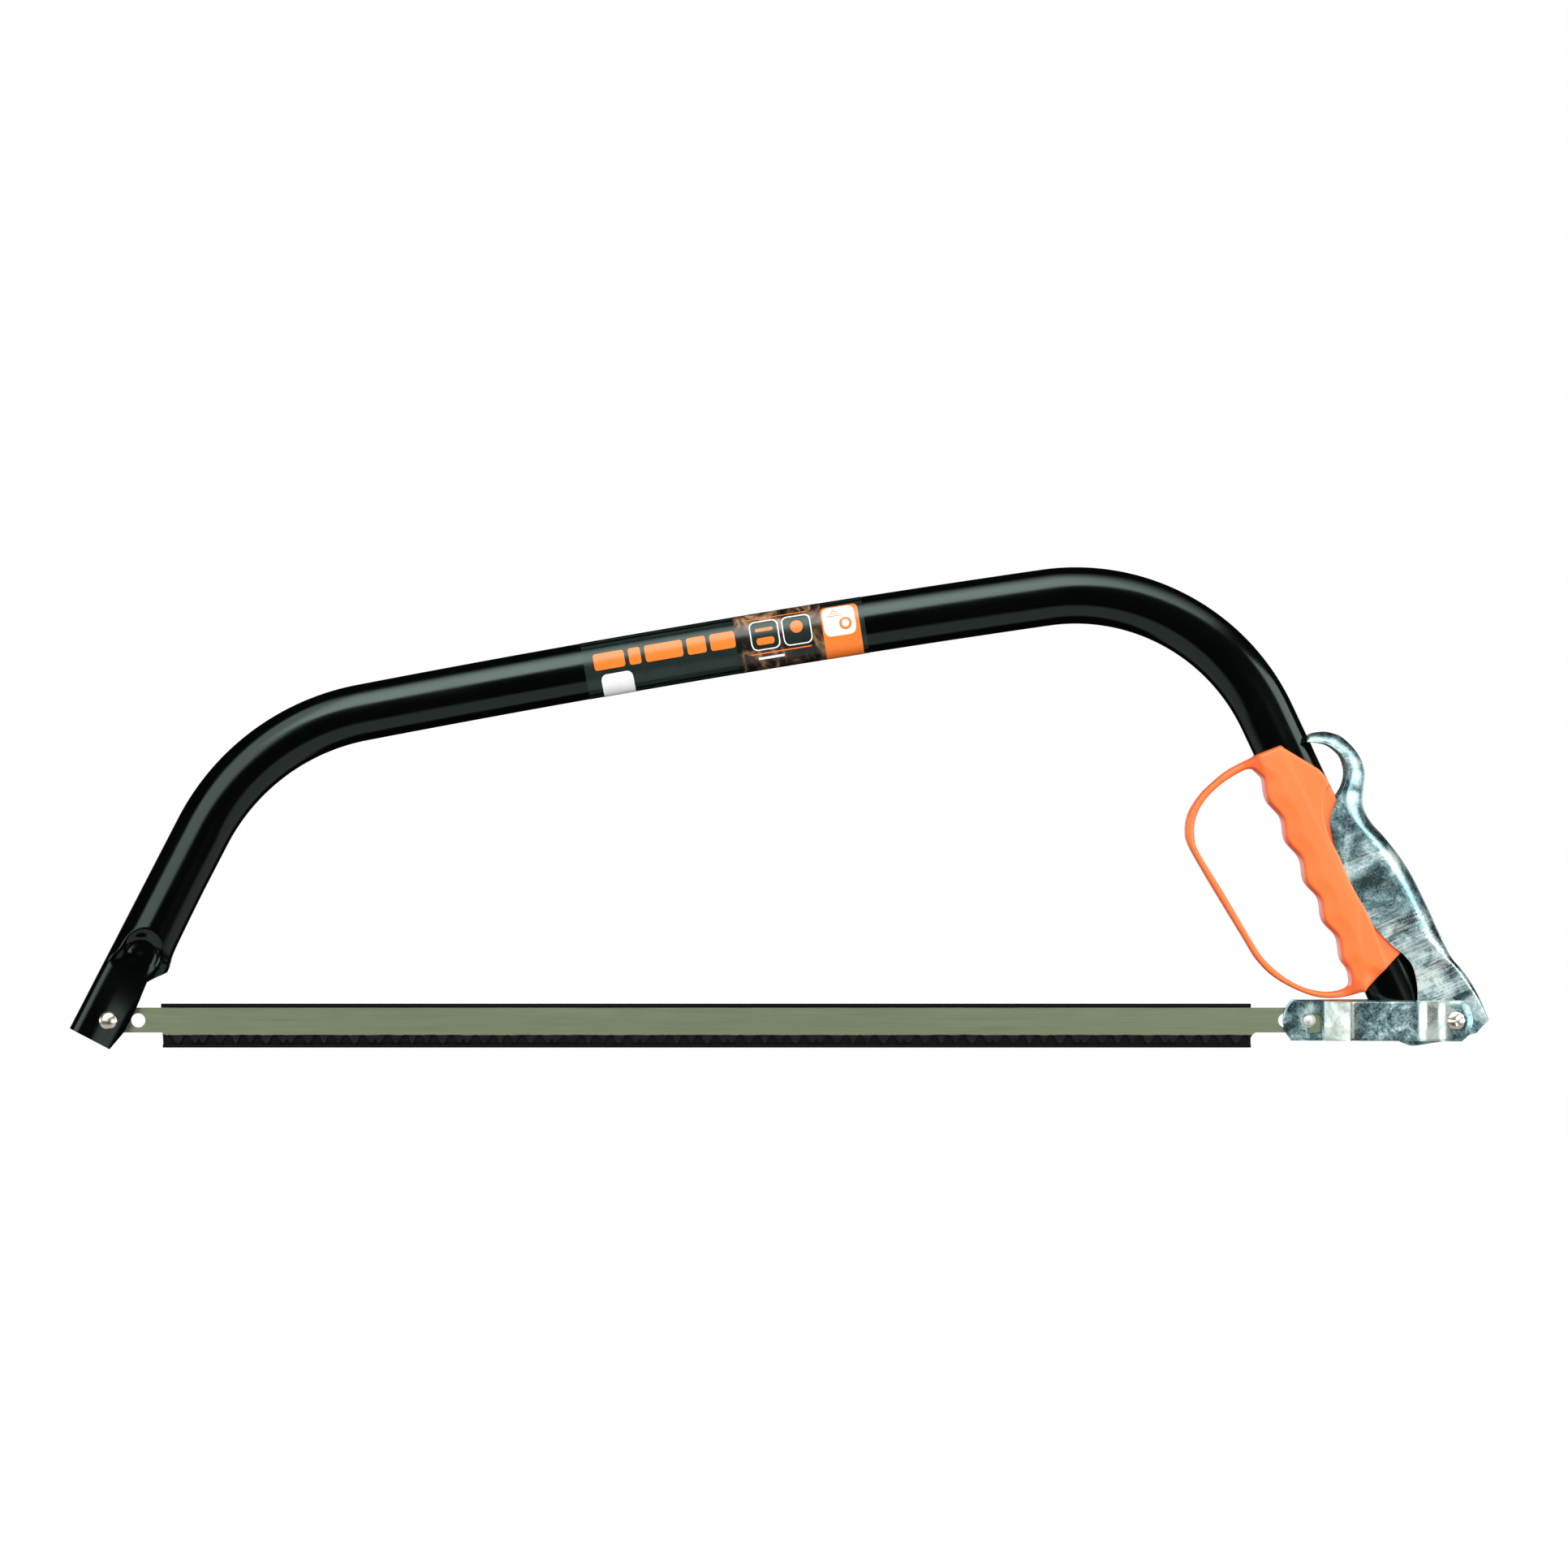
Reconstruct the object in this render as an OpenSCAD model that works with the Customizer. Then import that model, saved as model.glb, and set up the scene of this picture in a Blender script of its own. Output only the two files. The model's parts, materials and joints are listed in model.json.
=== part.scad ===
// Bow saw: an oval steel tube bent into a bow, a toothed blade held between a front pin and an
// over-centre lever, a moulded handle with a knuckle guard, and a clip-on blade guard.
// X runs from the toe to the handle, Z up from the teeth to the bow, Y across the thickness.
// Outlines are drawn from the front blade pin; every node is then moved so that the origin is
// the centre of the hand grip.

/* [Blade] */
// Distance between the two blade pins
blade_span = 607.3; // [607:0.1:608]
// Thickness of the blade
blade_t = 0.8; // [0.6:0.1:1]
// Radius of the round holes in the blade
blade_hole_r = 3.6; // [3.4:0.05:3.7]

/* [Frame tube] */
// Wide diameter of the oval tube, in the plane of the bow
tube_d = 28.7; // [27:0.1:29]
// Narrow diameter of the oval tube
tube_t = 18; // [17:0.5:18]
// Wall of the tube
tube_wall = 1.4; // [1:0.1:1.6]
// Centreline radius of the front bend
front_bend_r = 115; // [112:1:118]
// Centreline radius of the rear bend
rear_bend_r = 107; // [105:1:109]
// Outside thickness of the flattened front end
clevis_t = 10; // [9:0.5:11]

/* [Handle] */
// Thickness of the moulded grip
grip_t = 28; // [27:0.5:28.5]
// Thickness of the knuckle guard loop
loop_t = 12; // [10:0.5:14]
// Distance between finger bulges
finger_pitch = 22; // [20:0.5:24]

/* [Lever and link] */
// Sheet thickness of the lever and the link plates
sheet_t = 1.5; // [1.2:0.1:1.5]
// Outside width of the upper part of the lever
lever_w = 25.4; // [25:0.1:25.6]
// Outside width of the lower part of the lever
lever_low_w = 21.8; // [21.6:0.1:22]
// Height of the link plates
link_h = 20.6; // [20:0.1:21]

/* [Guard] */
// Length of the clip-on blade guard
guard_len = 551.8; // [540:0.1:552]

/* [Hidden] */
$fn = 48;
e = 0.5;

// Pins and pivots, [x, z] from the front pin
lever_pivot = [659.2, -2.06];
link_pivot = [680.6, 0.4];
rear_pin = [blade_span, 0];

// Front leg: a point on its centreline, its slope, and where along it, going down from that
// point, the bend ends and the flattening starts
front_leg_p = [48.3, 97.5];
front_leg_a = 62.7;
front_bend_s = 2.1;
front_leg_s = 48;
// Bow: slope at the front, slope at the rear, length between the bends
bow_a0 = 10.9;
bow_a1 = 8.2;
bow_len = 351.3;
// Rear leg: slope of the tube going down, and where it is cut off
rear_leg_a = -64.95;
rear_leg_len = 190;
tube_end_z = -9;
tube_end_r = 16;
// Straight part of the front leg, and the very large radius of the slightly arched bar
front_leg_len = front_leg_s - front_bend_s;
bar_r = bow_len / ((bow_a0 - bow_a1) * PI / 180);
// Press marks around the tube: width, and depth at a bend and at the flattening
mark_w = 1.2;
mark_d = 0.06;
flat_mark_d = 0.25;

// Hand grip: its centre on the rear leg and the directions along and across that leg
grip_c = [623.1, 75];
along = [cos(rear_leg_a), sin(rear_leg_a)];

// Flattened front end, measured along the leg (s) and across it (n)
flat_s0 = 70;
flat_s1 = 121.4;
flat_w = 31.2;
flat_n = 1.25;
mouth_n = 11.1;
mouth_s = 76;

// Front pin
front_pin_r = blade_hole_r - 0.05;
front_head_r = 4.75;
front_head_t = 2;
clip_r = 6.5;
clip_t = 1.6;

// Blade outline
blade_top = 6.46;
blade_low = -6.13;
tooth_root = -7.2;
tooth_tip = -12.1;
raker_tip = -11.7;
raker_pitch = 44.66;
raker_x0 = 45.4;
tooth_x0 = 28;
tooth_x1 = 579;
gullets = [0.138, 0.335, 0.5, 0.665, 0.862];
spare_hole_x = 14.7;
rear_spare_x = 595.5;

// Rear pin
rear_pin_r = 2.9;
rear_pin_half = 3.4;
rear_head_r = 4.2;
rear_head_t = 1.1;

// Lever pivot rivet and its sleeve
pivot_r = 3;
pivot_gap = 0.05;
pivot_head_r = 5;
pivot_head_t = 1.2;
sleeve_r = 5;

// Link plates: half gaps at the blade end, over the pivot and at the rivet
link_in_blade = 0.6;
link_in_mid = 13;
link_in_rivet = 11.3;
link_x0 = 594.3;
link_x1 = 689.2;
link_bend = [616.5, 629.6, 663.3, 676];
link_rivet_r = 2.8;
link_head_r = 4.65;
link_head_t = 1.5;
link_sleeve_r = 4.5;
window_r = 3.7;

// Guard section
guard_x0 = 26.3;
guard_top = 8.43;
guard_bottom = -13.8;
guard_gap = 0.15;
guard_back = [1, 2.6];
guard_front = -1.2;

// Lever: back edge from the hook tip to the tail, and inner edge from the hook to the pivot
lever_back = [
    [606.4, 142.6], [614, 146], [623.5, 143.5], [630.5, 137], [634.6, 129.5], [635.2, 119],
    [634.7, 110.5], [639, 99.5], [650, 87], [659.6, 72.8], [666, 60.5], [671.7, 48],
    [677.5, 34], [685.4, 24.5], [691.8, 14.4], [697.5, 0.5]
];
lever_tail = [[691.3, -5.8], [675.3, -9.9], [662, -12.3]];
lever_inner = [
    [655, 3], [662.4, 11], [662, 19], [659.9, 28], [655, 33.7], [644, 44], [635.7, 54.7],
    [628.7, 68.5], [623, 80.2], [619.2, 93], [618.4, 101], [620.8, 110.6], [626, 119.5],
    [626.6, 128.7], [620, 138], [611, 140.6]
];
lobe_r = 10.3;
shoulder = [678, 33];
shoulder_a = -62;
shoulder_t = 2;

// Handle: loop around the knuckles, outside and inside, and the ends of the grip
loop_outer = [
    [592.4, 138.8], [580, 133.7], [567, 127.1], [552, 114], [545, 98], [549, 83.5],
    [560, 64.6], [574.4, 41], [587.7, 23.6], [608, 12.7], [626.3, 12.3], [635, 15.2]
];
loop_inner = [
    [580.6, 127.4], [565, 121.3], [552, 107.4], [549.4, 93], [565, 63], [577.4, 42],
    [593.4, 23], [612, 14.9], [626.3, 16.5], [628, 22]
];
finger_n = 16.4;
finger_bulge = 1.6;
finger_u0 = -49;
finger_u1 = 39;
grip_back_n = 15.6;
recess_edge = [
    [617, 121], [614, 109], [616.5, 93], [628, 68.5], [639.5, 46.5], [646, 28]
];

// Label film on the bow
label_s0 = 115.5;
label_len = 143.5;
label_t = 0.25;

// Smooth curve through hand-set points, with n steps between two points
function blend(a, b, c, d, t) =
    0.5 * (2 * b + (c - a) * t + (2 * a - 5 * b + 4 * c - d) * t * t
    + (3 * b - a - 3 * c + d) * t * t * t);
function curve(p, n = 4) = concat(
    [for (i = [0 : len(p) - 2], k = [0 : n - 1])
        blend(p[max(i - 1, 0)], p[i], p[i + 1], p[min(i + 2, len(p) - 1)], k / n)],
    [p[len(p) - 1]]);
// A curve moved d to the right of its own direction
function unit(v) = v / norm(v);
function beside(p, d) = [for (i = [0 : len(p) - 1])
    let (t = unit(p[min(i + 1, len(p) - 1)] - p[max(i - 1, 0)])) p[i] + d * [t[1], -t[0]]];
// Point at u along the rear leg and v outward from its centreline, from the grip's centre
function leg(u, v) = grip_c + u * along + v * [-along[1], along[0]];

// Shapes drawn from the front pin, moved so that the grip's centre is the origin
module placed() {
    translate([-grip_c[0], 0, -grip_c[1]]) children();
}

// Plate of thickness y1 - y0 with its outline in the XZ plane
module plate(y0, y1) {
    translate([0, y1, 0]) rotate([90, 0, 0]) linear_extrude(y1 - y0) children();
}

// Round bar along Y at the point p
module bar(p, r, y0, y1) {
    translate([p[0], y1, p[1]]) rotate([90, 0, 0]) cylinder(r = r, h = y1 - y0);
}

// Domed rivet or pin head on the near side, its flat face at y
module dome(p, r, t, y) {
    translate([p[0], y, p[1]]) rotate([90, 0, 0]) {
        cylinder(r = r, h = t * 0.5);
        translate([0, 0, t * 0.5]) cylinder(r1 = r, r2 = r * 0.6, h = t * 0.5);
    }
}

// Oval section with its wide side along X
module oval(w, t) {
    square([w - t, t], center = true);
    translate([(w - t) / 2, 0]) circle(d = t);
    translate([(t - w) / 2, 0]) circle(d = t);
}

// Wall of an oval tube
module oval_wall(w, t) {
    difference() {
        oval(w, t);
        oval(w - 2 * tube_wall, t - 2 * tube_wall);
    }
}

// Faint ring that the bending die leaves where two stretches of the tube meet
module press_mark(w, t, d) {
    inside = 2 * (tube_wall + d);
    translate([-mark_w / 2, 0, 0]) straight(mark_w) difference() {
        oval(w + 2 * d, t + 2 * d);
        oval(w - inside, t - inside);
    }
}

// Straight tube from the local origin along +X, its wide side in the XZ plane
module straight(length) {
    rotate(a = 120, v = [1, 1, 1]) linear_extrude(length) rotate(90) children();
}

// Tube bent downward by angle a at radius r, starting along +X
module bend(r, a) {
    translate([0, 0, -r]) rotate(a = -120, v = [1, 1, 1])
        rotate_extrude(angle = a, $fn = 96) translate([r, 0]) children();
}

// Where the next stretch starts after such a bend
module after_bend(r, a) {
    translate([0, 0, -r]) rotate([0, a, 0]) translate([0, 0, r]) children();
}

// The bow from the flattening to the rear leg, drawn along the local +X
module bow() {
    straight(front_leg_len) oval_wall(tube_d, tube_t);
    press_mark(tube_d, tube_t, flat_mark_d);
    translate([front_leg_len, 0, 0]) {
        press_mark(tube_d, tube_t, mark_d);
        bend(front_bend_r, front_leg_a - bow_a0) oval_wall(tube_d, tube_t);
        after_bend(front_bend_r, front_leg_a - bow_a0) {
            press_mark(tube_d, tube_t, mark_d);
            bend(bar_r, bow_a0 - bow_a1) oval_wall(tube_d, tube_t);
            after_bend(bar_r, bow_a0 - bow_a1) {
                press_mark(tube_d, tube_t, mark_d);
                bend(rear_bend_r, bow_a1 - rear_leg_a) oval_wall(tube_d, tube_t);
                after_bend(rear_bend_r, bow_a1 - rear_leg_a) {
                    press_mark(tube_d, tube_t, mark_d);
                    straight(rear_leg_len) oval_wall(tube_d, tube_t);
                }
            }
        }
    }
}

// Places children at s along the front leg, +X running up the leg and +Z outward
module on_front_leg(s) {
    translate([front_leg_p[0], 0, front_leg_p[1]]) rotate([0, -front_leg_a, 0])
        translate([-s, 0, 0]) children();
}

// Places children at u along the rear leg from the grip's centre, +X running down the leg
module on_rear_leg(u) {
    translate([grip_c[0], 0, grip_c[1]]) rotate([0, -rear_leg_a, 0])
        translate([u, 0, 0]) children();
}

// Solid or hollow body between the full oval and the flattened end
module flattening(shrink) {
    hull() {
        on_front_leg(front_leg_s + 0.5)
            straight(0.5) oval(tube_d - 2 * shrink, tube_t - 2 * shrink, $fn = 32);
        on_front_leg(flat_s0)
            translate([0, 0, -flat_n]) straight(0.5)
                oval(flat_w - 2 * shrink, clevis_t - 2 * shrink, $fn = 32);
    }
}

// Corner of the tube's rear end that is cut away so that the link's rivet can pass it
module rear_corner() {
    difference() {
        translate([lever_pivot[0], lever_pivot[1] - 40]) square([60, 40]);
        translate(lever_pivot) circle(r = tube_end_r);
    }
}

module frame_tube() {
    color("#1a1c1b") placed() difference() {
        union() {
            on_front_leg(front_leg_s) bow();
            difference() {
                flattening(0);
                flattening(tube_wall);
            }
            on_front_leg(flat_s0) translate([0, 0, -flat_n])
                press_mark(flat_w, clevis_t, flat_mark_d);
            on_front_leg(flat_s1) translate([0, 0, -flat_n])
                straight(flat_s1 - flat_s0) oval_wall(flat_w, clevis_t);
        }
        on_front_leg(flat_s1 + e) translate([0, -clevis_t, -mouth_n - tube_d])
            cube([flat_s1 + e - mouth_s, 2 * clevis_t, tube_d]);
        translate([600, -tube_t, tube_end_z - 100]) cube([120, 2 * tube_t, 100]);
        plate(-tube_t, tube_t) rear_corner();
        on_front_leg(flat_s1) translate([0, 0, -mouth_n]) rotate([0, 45, 0])
            cube([3, 2 * clevis_t, 3], center = true);
        bar([0, 0], front_pin_r, -clevis_t, clevis_t);
        bar(lever_pivot, pivot_r, -tube_t, tube_t);
    }
}

module front_blade_pin() {
    color("#c9c6bd") placed() {
        bar([0, 0], front_pin_r, -clevis_t / 2, clevis_t / 2 + clip_t + 0.6);
        dome([0, 0], front_head_r, front_head_t, -clevis_t / 2);
    }
}

module front_pin_clip() {
    color("#8f9296") placed() difference() {
        bar([0, 0], clip_r, clevis_t / 2, clevis_t / 2 + clip_t);
        bar([0, 0], front_pin_r, 0, clevis_t);
        translate([0, 0, clip_r]) cube([3, 3 * clevis_t, clip_r], center = true);
    }
}

// Finger edge of the grip: five shallow bulges in a row along the leg
function finger_edge() = [for (u = [finger_u0 - 8 : 2 : finger_u1 + 8])
    leg(u, -finger_n - finger_bulge * cos(360 * (u - finger_u0) / finger_pitch))];

module grip_outline() {
    polygon(concat(
        finger_edge(),
        [[635, 15.2], [659.2, 41.3], leg(-38, grip_back_n), [611.7, 127.1], [592.4, 138.8],
        [581, 133]]));
}

module handle() {
    color("#ff6a26") placed() difference() {
        union() {
            intersection() {
                plate(-grip_t / 2, grip_t / 2) grip_outline();
                on_rear_leg(-90) translate([0, 0, 1.2]) straight(180)
                    oval(2 * grip_back_n + 5, grip_t);
            }
            plate(-loop_t / 2, loop_t / 2) difference() {
                polygon(concat(curve(loop_outer), [leg(30, 0), leg(-45, 0)]));
                polygon(concat(curve(loop_inner), [for (u = [44 : -4 : -56])
                    leg(u, -finger_n - finger_bulge * cos(360 * (u - finger_u0) / finger_pitch))]));
            }
        }
        on_rear_leg(-100) straight(200) oval(tube_d, tube_t);
        for (side = [-1, 1]) {
            plate(side * 17 - 6.1, side * 17 + 6.1)
                polygon(concat(curve(recess_edge), [[700, 28], [700, 121]]));
        }
    }
}

module label_film() {
    color("#3a3532") placed() on_front_leg(front_bend_s)
        after_bend(front_bend_r, front_leg_a - bow_a0)
            after_bend(bar_r, label_s0 / bar_r * 180 / PI)
                bend(bar_r, label_len / bar_r * 180 / PI) difference() {
                    oval(tube_d + 2 * label_t, tube_t + 2 * label_t);
                    oval(tube_d, tube_t);
                }
}

module lever_pivot_rivet() {
    half = lever_low_w / 2 + pivot_gap;
    color("#b9bcc0") placed() {
        bar(lever_pivot, pivot_r, -half, half);
        dome(lever_pivot, pivot_head_r, pivot_head_t, -half);
        mirror([0, 1, 0]) dome(lever_pivot, pivot_head_r, pivot_head_t, -half);
    }
}

module lever_pivot_sleeve() {
    half = tube_t / 2 - tube_wall;
    color("#9a9ea3") placed() difference() {
        bar(lever_pivot, sleeve_r, -half, half);
        bar(lever_pivot, pivot_r, -tube_t, tube_t);
    }
}

// Side outline of the lever
module lever_outline() {
    polygon(concat(curve(lever_back), lever_tail, curve(lever_inner)));
    translate(lever_pivot) circle(r = lobe_r);
}

// Space between the cheeks: everything inside the back wall, open toward the tube
module lever_hollow() {
    inner_back = beside(curve(lever_back), sheet_t);
    polygon(concat(inner_back, [[700, -12], [690, -30], [600, -30], [600, 130]]));
}

// Channel of outside width w with cheeks of thickness t
module lever_channel(w, t) {
    difference() {
        plate(-w / 2, w / 2) lever_outline();
        plate(t - w / 2, w / 2 - t) lever_hollow();
    }
}

// Half space above the shoulder line, moved by d along the lever
module above_shoulder(d) {
    translate([shoulder[0], 0, shoulder[1]]) rotate([0, -shoulder_a, 0])
        translate([-200 - d, -20, -100]) cube([200, 40, 200]);
}

module tension_lever() {
    step = (lever_w - lever_low_w) / 2;
    color("#aeb4b8") placed() difference() {
        union() {
            intersection() {
                lever_channel(lever_w, sheet_t);
                above_shoulder(0);
            }
            intersection() {
                lever_channel(lever_w, sheet_t + step);
                difference() {
                    above_shoulder(0);
                    above_shoulder(shoulder_t);
                }
            }
            difference() {
                lever_channel(lever_low_w, sheet_t);
                above_shoulder(0.5);
            }
        }
        on_rear_leg(-100) straight(100) oval(tube_d + 1, tube_t + 1);
        bar(lever_pivot, pivot_r + pivot_gap, -lever_w, lever_w);
        bar(link_pivot, link_rivet_r + pivot_gap, -lever_w, lever_w);
    }
}

// Side outline of a link plate: a strap with round ends and an L-shaped window for the blade pin
module link_outline() {
    difference() {
        intersection() {
            translate([link_x0, -link_h / 2 + 0.15]) square([link_x1 - link_x0, link_h]);
            union() {
                translate([rear_pin[0], 0.15]) circle(r = 13);
                translate([rear_pin[0], -link_h]) square([link_pivot[0] - rear_pin[0], 2 * link_h]);
                translate([link_pivot[0] - 4, 0.15]) circle(r = 13);
            }
        }
        translate([rear_pin[0] - 0.1, 0]) circle(r = window_r);
        translate([rear_pin[0] - 0.1, -window_r + 0.5]) square([3.6, 2 * window_r]);
        translate([rear_pin[0] + 3.5, 0.5]) circle(r = window_r);
        translate([rear_pin[0] + 3.5 - window_r, -5]) square([2 * window_r, 5.5]);
        translate([rear_pin[0] + 3.5, -5]) circle(r = window_r);
        translate(link_pivot) circle(r = link_rivet_r);
    }
}

// Section of a far plate from above: flat at the blade, joggled out over the pivot, in at the rivet
module link_section() {
    b = link_bend;
    inner = [
        [link_x0 - e, link_in_blade], [b[0], link_in_blade], [b[1], link_in_mid],
        [b[2], link_in_mid], [b[3], link_in_rivet], [link_x1 + e, link_in_rivet]
    ];
    outer = [for (i = [len(inner) - 1 : -1 : 0]) inner[i] + [0, sheet_t]];
    polygon(concat(inner, outer));
}

module link_plate() {
    intersection() {
        plate(0, link_in_mid + 2 * sheet_t) link_outline();
        translate([0, 0, -link_h]) linear_extrude(2 * link_h) link_section();
    }
}

module link_plate_far() {
    color("#a9b0b5") placed() link_plate();
}
module link_plate_near() {
    color("#b4bbc0") placed() mirror([0, 1, 0]) link_plate();
}

module link_rivet() {
    half = link_in_rivet + sheet_t;
    color("#c4c7ca") placed() {
        bar(link_pivot, link_rivet_r, -half, half);
        dome(link_pivot, link_head_r, link_head_t, -half);
        mirror([0, 1, 0]) dome(link_pivot, link_head_r, link_head_t, -half);
    }
}

module link_rivet_sleeve() {
    half = lever_low_w / 2 - sheet_t - 0.3;
    color("#9a9ea3") placed() difference() {
        bar(link_pivot, link_sleeve_r, -half, half);
        bar(link_pivot, link_rivet_r, -lever_w, lever_w);
    }
}

// One gullet between two teeth, centred at x
function gullet(x) = [
    [x - 2.3, -9.6], [x - 1.6, tooth_root - 0.5], [x, tooth_root], [x + 1.6, tooth_root - 0.5],
    [x + 2.3, -9.6]
];
// Teeth of one group: a notched raker, then four peg teeth between gullets
function tooth_group(x) = concat(
    [[x, raker_tip + 2.2], [x + 1.7, raker_tip]],
    [for (i = [0 : len(gullets) - 1]) each concat(
        gullet(x + gullets[i] * raker_pitch),
        i < len(gullets) - 1
            ? [[x + (gullets[i] + gullets[i + 1]) / 2 * raker_pitch - 0.3, tooth_tip],
               [x + (gullets[i] + gullets[i + 1]) / 2 * raker_pitch + 0.3, tooth_tip]]
            : [[x + raker_pitch - 1.7, raker_tip]])]);
groups = 13;
teeth = [for (i = [-1 : groups - 2]) each tooth_group(raker_x0 + i * raker_pitch)];
cutting_edge = [for (p = teeth) if (p[0] > tooth_x0 + 1 && p[0] < tooth_x1 - 1) p];

module saw_blade() {
    color("#7d7a68") placed() difference() {
        plate(-blade_t / 2, blade_t / 2) polygon(concat(
            [[-7, blade_low + 2], [-5, blade_low], [tooth_x0 - 1, blade_low], [tooth_x0, tooth_root]],
            cutting_edge,
            [[tooth_x1, tooth_root], [tooth_x1 + 1, blade_low], [rear_pin[0] + 5, blade_low],
             [rear_pin[0] + 7, blade_low + 2], [rear_pin[0] + 7, blade_top - 2],
             [rear_pin[0] + 5, blade_top], [-5, blade_top], [-7, blade_top - 2]]));
        bar([0, 0], blade_hole_r, -1, 1);
        bar([spare_hole_x, 0], blade_hole_r, -1, 1);
        bar([rear_spare_x, 0], blade_hole_r, -1, 1);
        bar(rear_pin, blade_hole_r, -1, 1);
    }
}

module rear_blade_pin() {
    color("#c9c6bd") placed() {
        bar(rear_pin, rear_pin_r, -rear_pin_half, rear_pin_half);
        bar(rear_pin, blade_hole_r, -blade_t / 2, blade_t / 2);
        bar(rear_pin, rear_head_r, rear_pin_half - rear_head_t, rear_pin_half);
    }
}

module blade_guard() {
    color("#1b1b1d") placed() translate([guard_x0, 0, 0]) {
        translate([0, guard_back[0], guard_bottom])
            cube([guard_len, guard_back[1] - guard_back[0], guard_top - guard_bottom]);
        translate([0, guard_front, blade_top + guard_gap])
            cube([guard_len, guard_back[1] - guard_front, guard_top - blade_top - guard_gap]);
        translate([0, guard_front, guard_bottom])
            cube([guard_len, guard_back[1] - guard_front, tooth_tip - guard_gap - guard_bottom]);
    }
}

frame_tube();
front_blade_pin();
front_pin_clip();
handle();
label_film();
lever_pivot_rivet();
lever_pivot_sleeve();
tension_lever();
link_plate_near();
link_plate_far();
link_rivet();
link_rivet_sleeve();
saw_blade();
rear_blade_pin();
blade_guard();
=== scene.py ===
"""Bow saw: the visible pieces, their materials and the studio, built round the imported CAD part.

Shapes are drawn in millimetres from the front blade pin (X to the handle, Z up, Y away from the
camera) and are placed in the CAD frame by `placed`.
"""

import json
import math

import bmesh
import bpy
import numpy as np
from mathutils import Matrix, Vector
from mathutils.geometry import delaunay_2d_cdt


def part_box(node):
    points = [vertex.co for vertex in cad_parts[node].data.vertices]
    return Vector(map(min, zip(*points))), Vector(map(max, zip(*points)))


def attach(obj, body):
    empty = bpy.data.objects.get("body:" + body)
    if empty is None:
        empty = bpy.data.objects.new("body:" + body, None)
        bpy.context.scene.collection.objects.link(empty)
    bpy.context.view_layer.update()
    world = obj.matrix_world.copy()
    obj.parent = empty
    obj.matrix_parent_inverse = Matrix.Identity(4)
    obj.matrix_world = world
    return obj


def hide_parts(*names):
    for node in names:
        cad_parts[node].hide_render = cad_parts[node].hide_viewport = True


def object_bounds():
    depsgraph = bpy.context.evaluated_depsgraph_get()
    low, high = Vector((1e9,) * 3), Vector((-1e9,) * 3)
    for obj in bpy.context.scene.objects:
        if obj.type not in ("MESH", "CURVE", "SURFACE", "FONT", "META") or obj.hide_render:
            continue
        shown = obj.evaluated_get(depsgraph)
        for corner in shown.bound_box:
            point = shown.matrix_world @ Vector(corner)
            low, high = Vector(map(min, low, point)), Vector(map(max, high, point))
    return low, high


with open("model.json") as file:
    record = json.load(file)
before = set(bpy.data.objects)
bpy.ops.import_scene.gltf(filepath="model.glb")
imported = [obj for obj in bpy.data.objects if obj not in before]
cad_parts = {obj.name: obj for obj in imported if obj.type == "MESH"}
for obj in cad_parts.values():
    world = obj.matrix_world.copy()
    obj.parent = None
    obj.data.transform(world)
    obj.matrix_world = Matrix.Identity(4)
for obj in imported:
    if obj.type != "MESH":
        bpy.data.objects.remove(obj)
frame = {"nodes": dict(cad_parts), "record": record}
cad_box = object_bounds()

MM = 0.001
NODE_BODY = {
    node: body
    for body, nodes in frame["record"]["behaviour"]["bodies"].items()
    for node in nodes
}

# The front blade pin's axis, which every outline below is measured from
pin_low, pin_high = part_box("front_blade_pin")
PIN = ((pin_low.x + pin_high.x) / 2, (pin_low.z + pin_high.z) / 2)

# Main dimensions in millimetres; the tube is an oval given by its two half widths
TUBE_WIDE = 14.35
TUBE_THIN = 9.0
TUBE_WALL = 1.4
FORK_END = 121.3
BAR_RADIUS = 7455.0
BLADE_HALF = 0.4
PIN_HOLE = 3.6
TAIL_HALF = 10.9
GRIP_HALF = 13.3
SHEET = 1.5

# Slopes of the two straight legs in degrees, and points (x, z) in millimetres
FRONT_LEG = 62.7
REAR_LEG = -64.95
LEG_POINT = (48.3, 97.5)
GRIP = (623.1, 75.0)
LEVER_PIVOT = (659.2, -2.06)
LINK_PIVOT = (680.6, 0.4)
REAR_PIN = (607.3, 0.0)


# -------------------- plain geometry

def placed(points):
    """Points (x, y, z) in millimetres from the front pin, as metres in the CAD frame."""
    out = np.array(points, float) * MM
    out[:, 0] += PIN[0]
    out[:, 2] += PIN[1]
    return out


def smooth(low, high, value):
    """0 below low, 1 above high, and a smooth step between them."""
    t = np.clip((np.asarray(value, float) - low) / (high - low), 0, 1)
    return t * t * (3 - 2 * t)


def soft_min(a, b, width):
    """The smaller of two heights, rounded over that width where they cross."""
    h = np.clip(0.5 + 0.5 * (b - a) / width, 0, 1)
    return b * (1 - h) + a * h - width * h * (1 - h)


def curve(points, steps=6):
    """A smooth line through given points, with so many steps between two of them."""
    p = np.array(points, float)
    p = np.vstack([2 * p[0] - p[1], p, 2 * p[-1] - p[-2]])
    t = np.arange(steps)[:, None] / steps
    parts = [
        0.5 * (2 * b + (c - a) * t + (2 * a - 5 * b + 4 * c - d) * t**2
               + (3 * b - a - 3 * c + d) * t**3)
        for a, b, c, d in zip(p, p[1:], p[2:], p[3:])
    ]
    return np.vstack(parts + [p[-2:-1]])


def direction(degrees):
    """Unit vector in the XZ plane at that slope."""
    a = math.radians(degrees)
    return np.array([math.cos(a), math.sin(a)])


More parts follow.
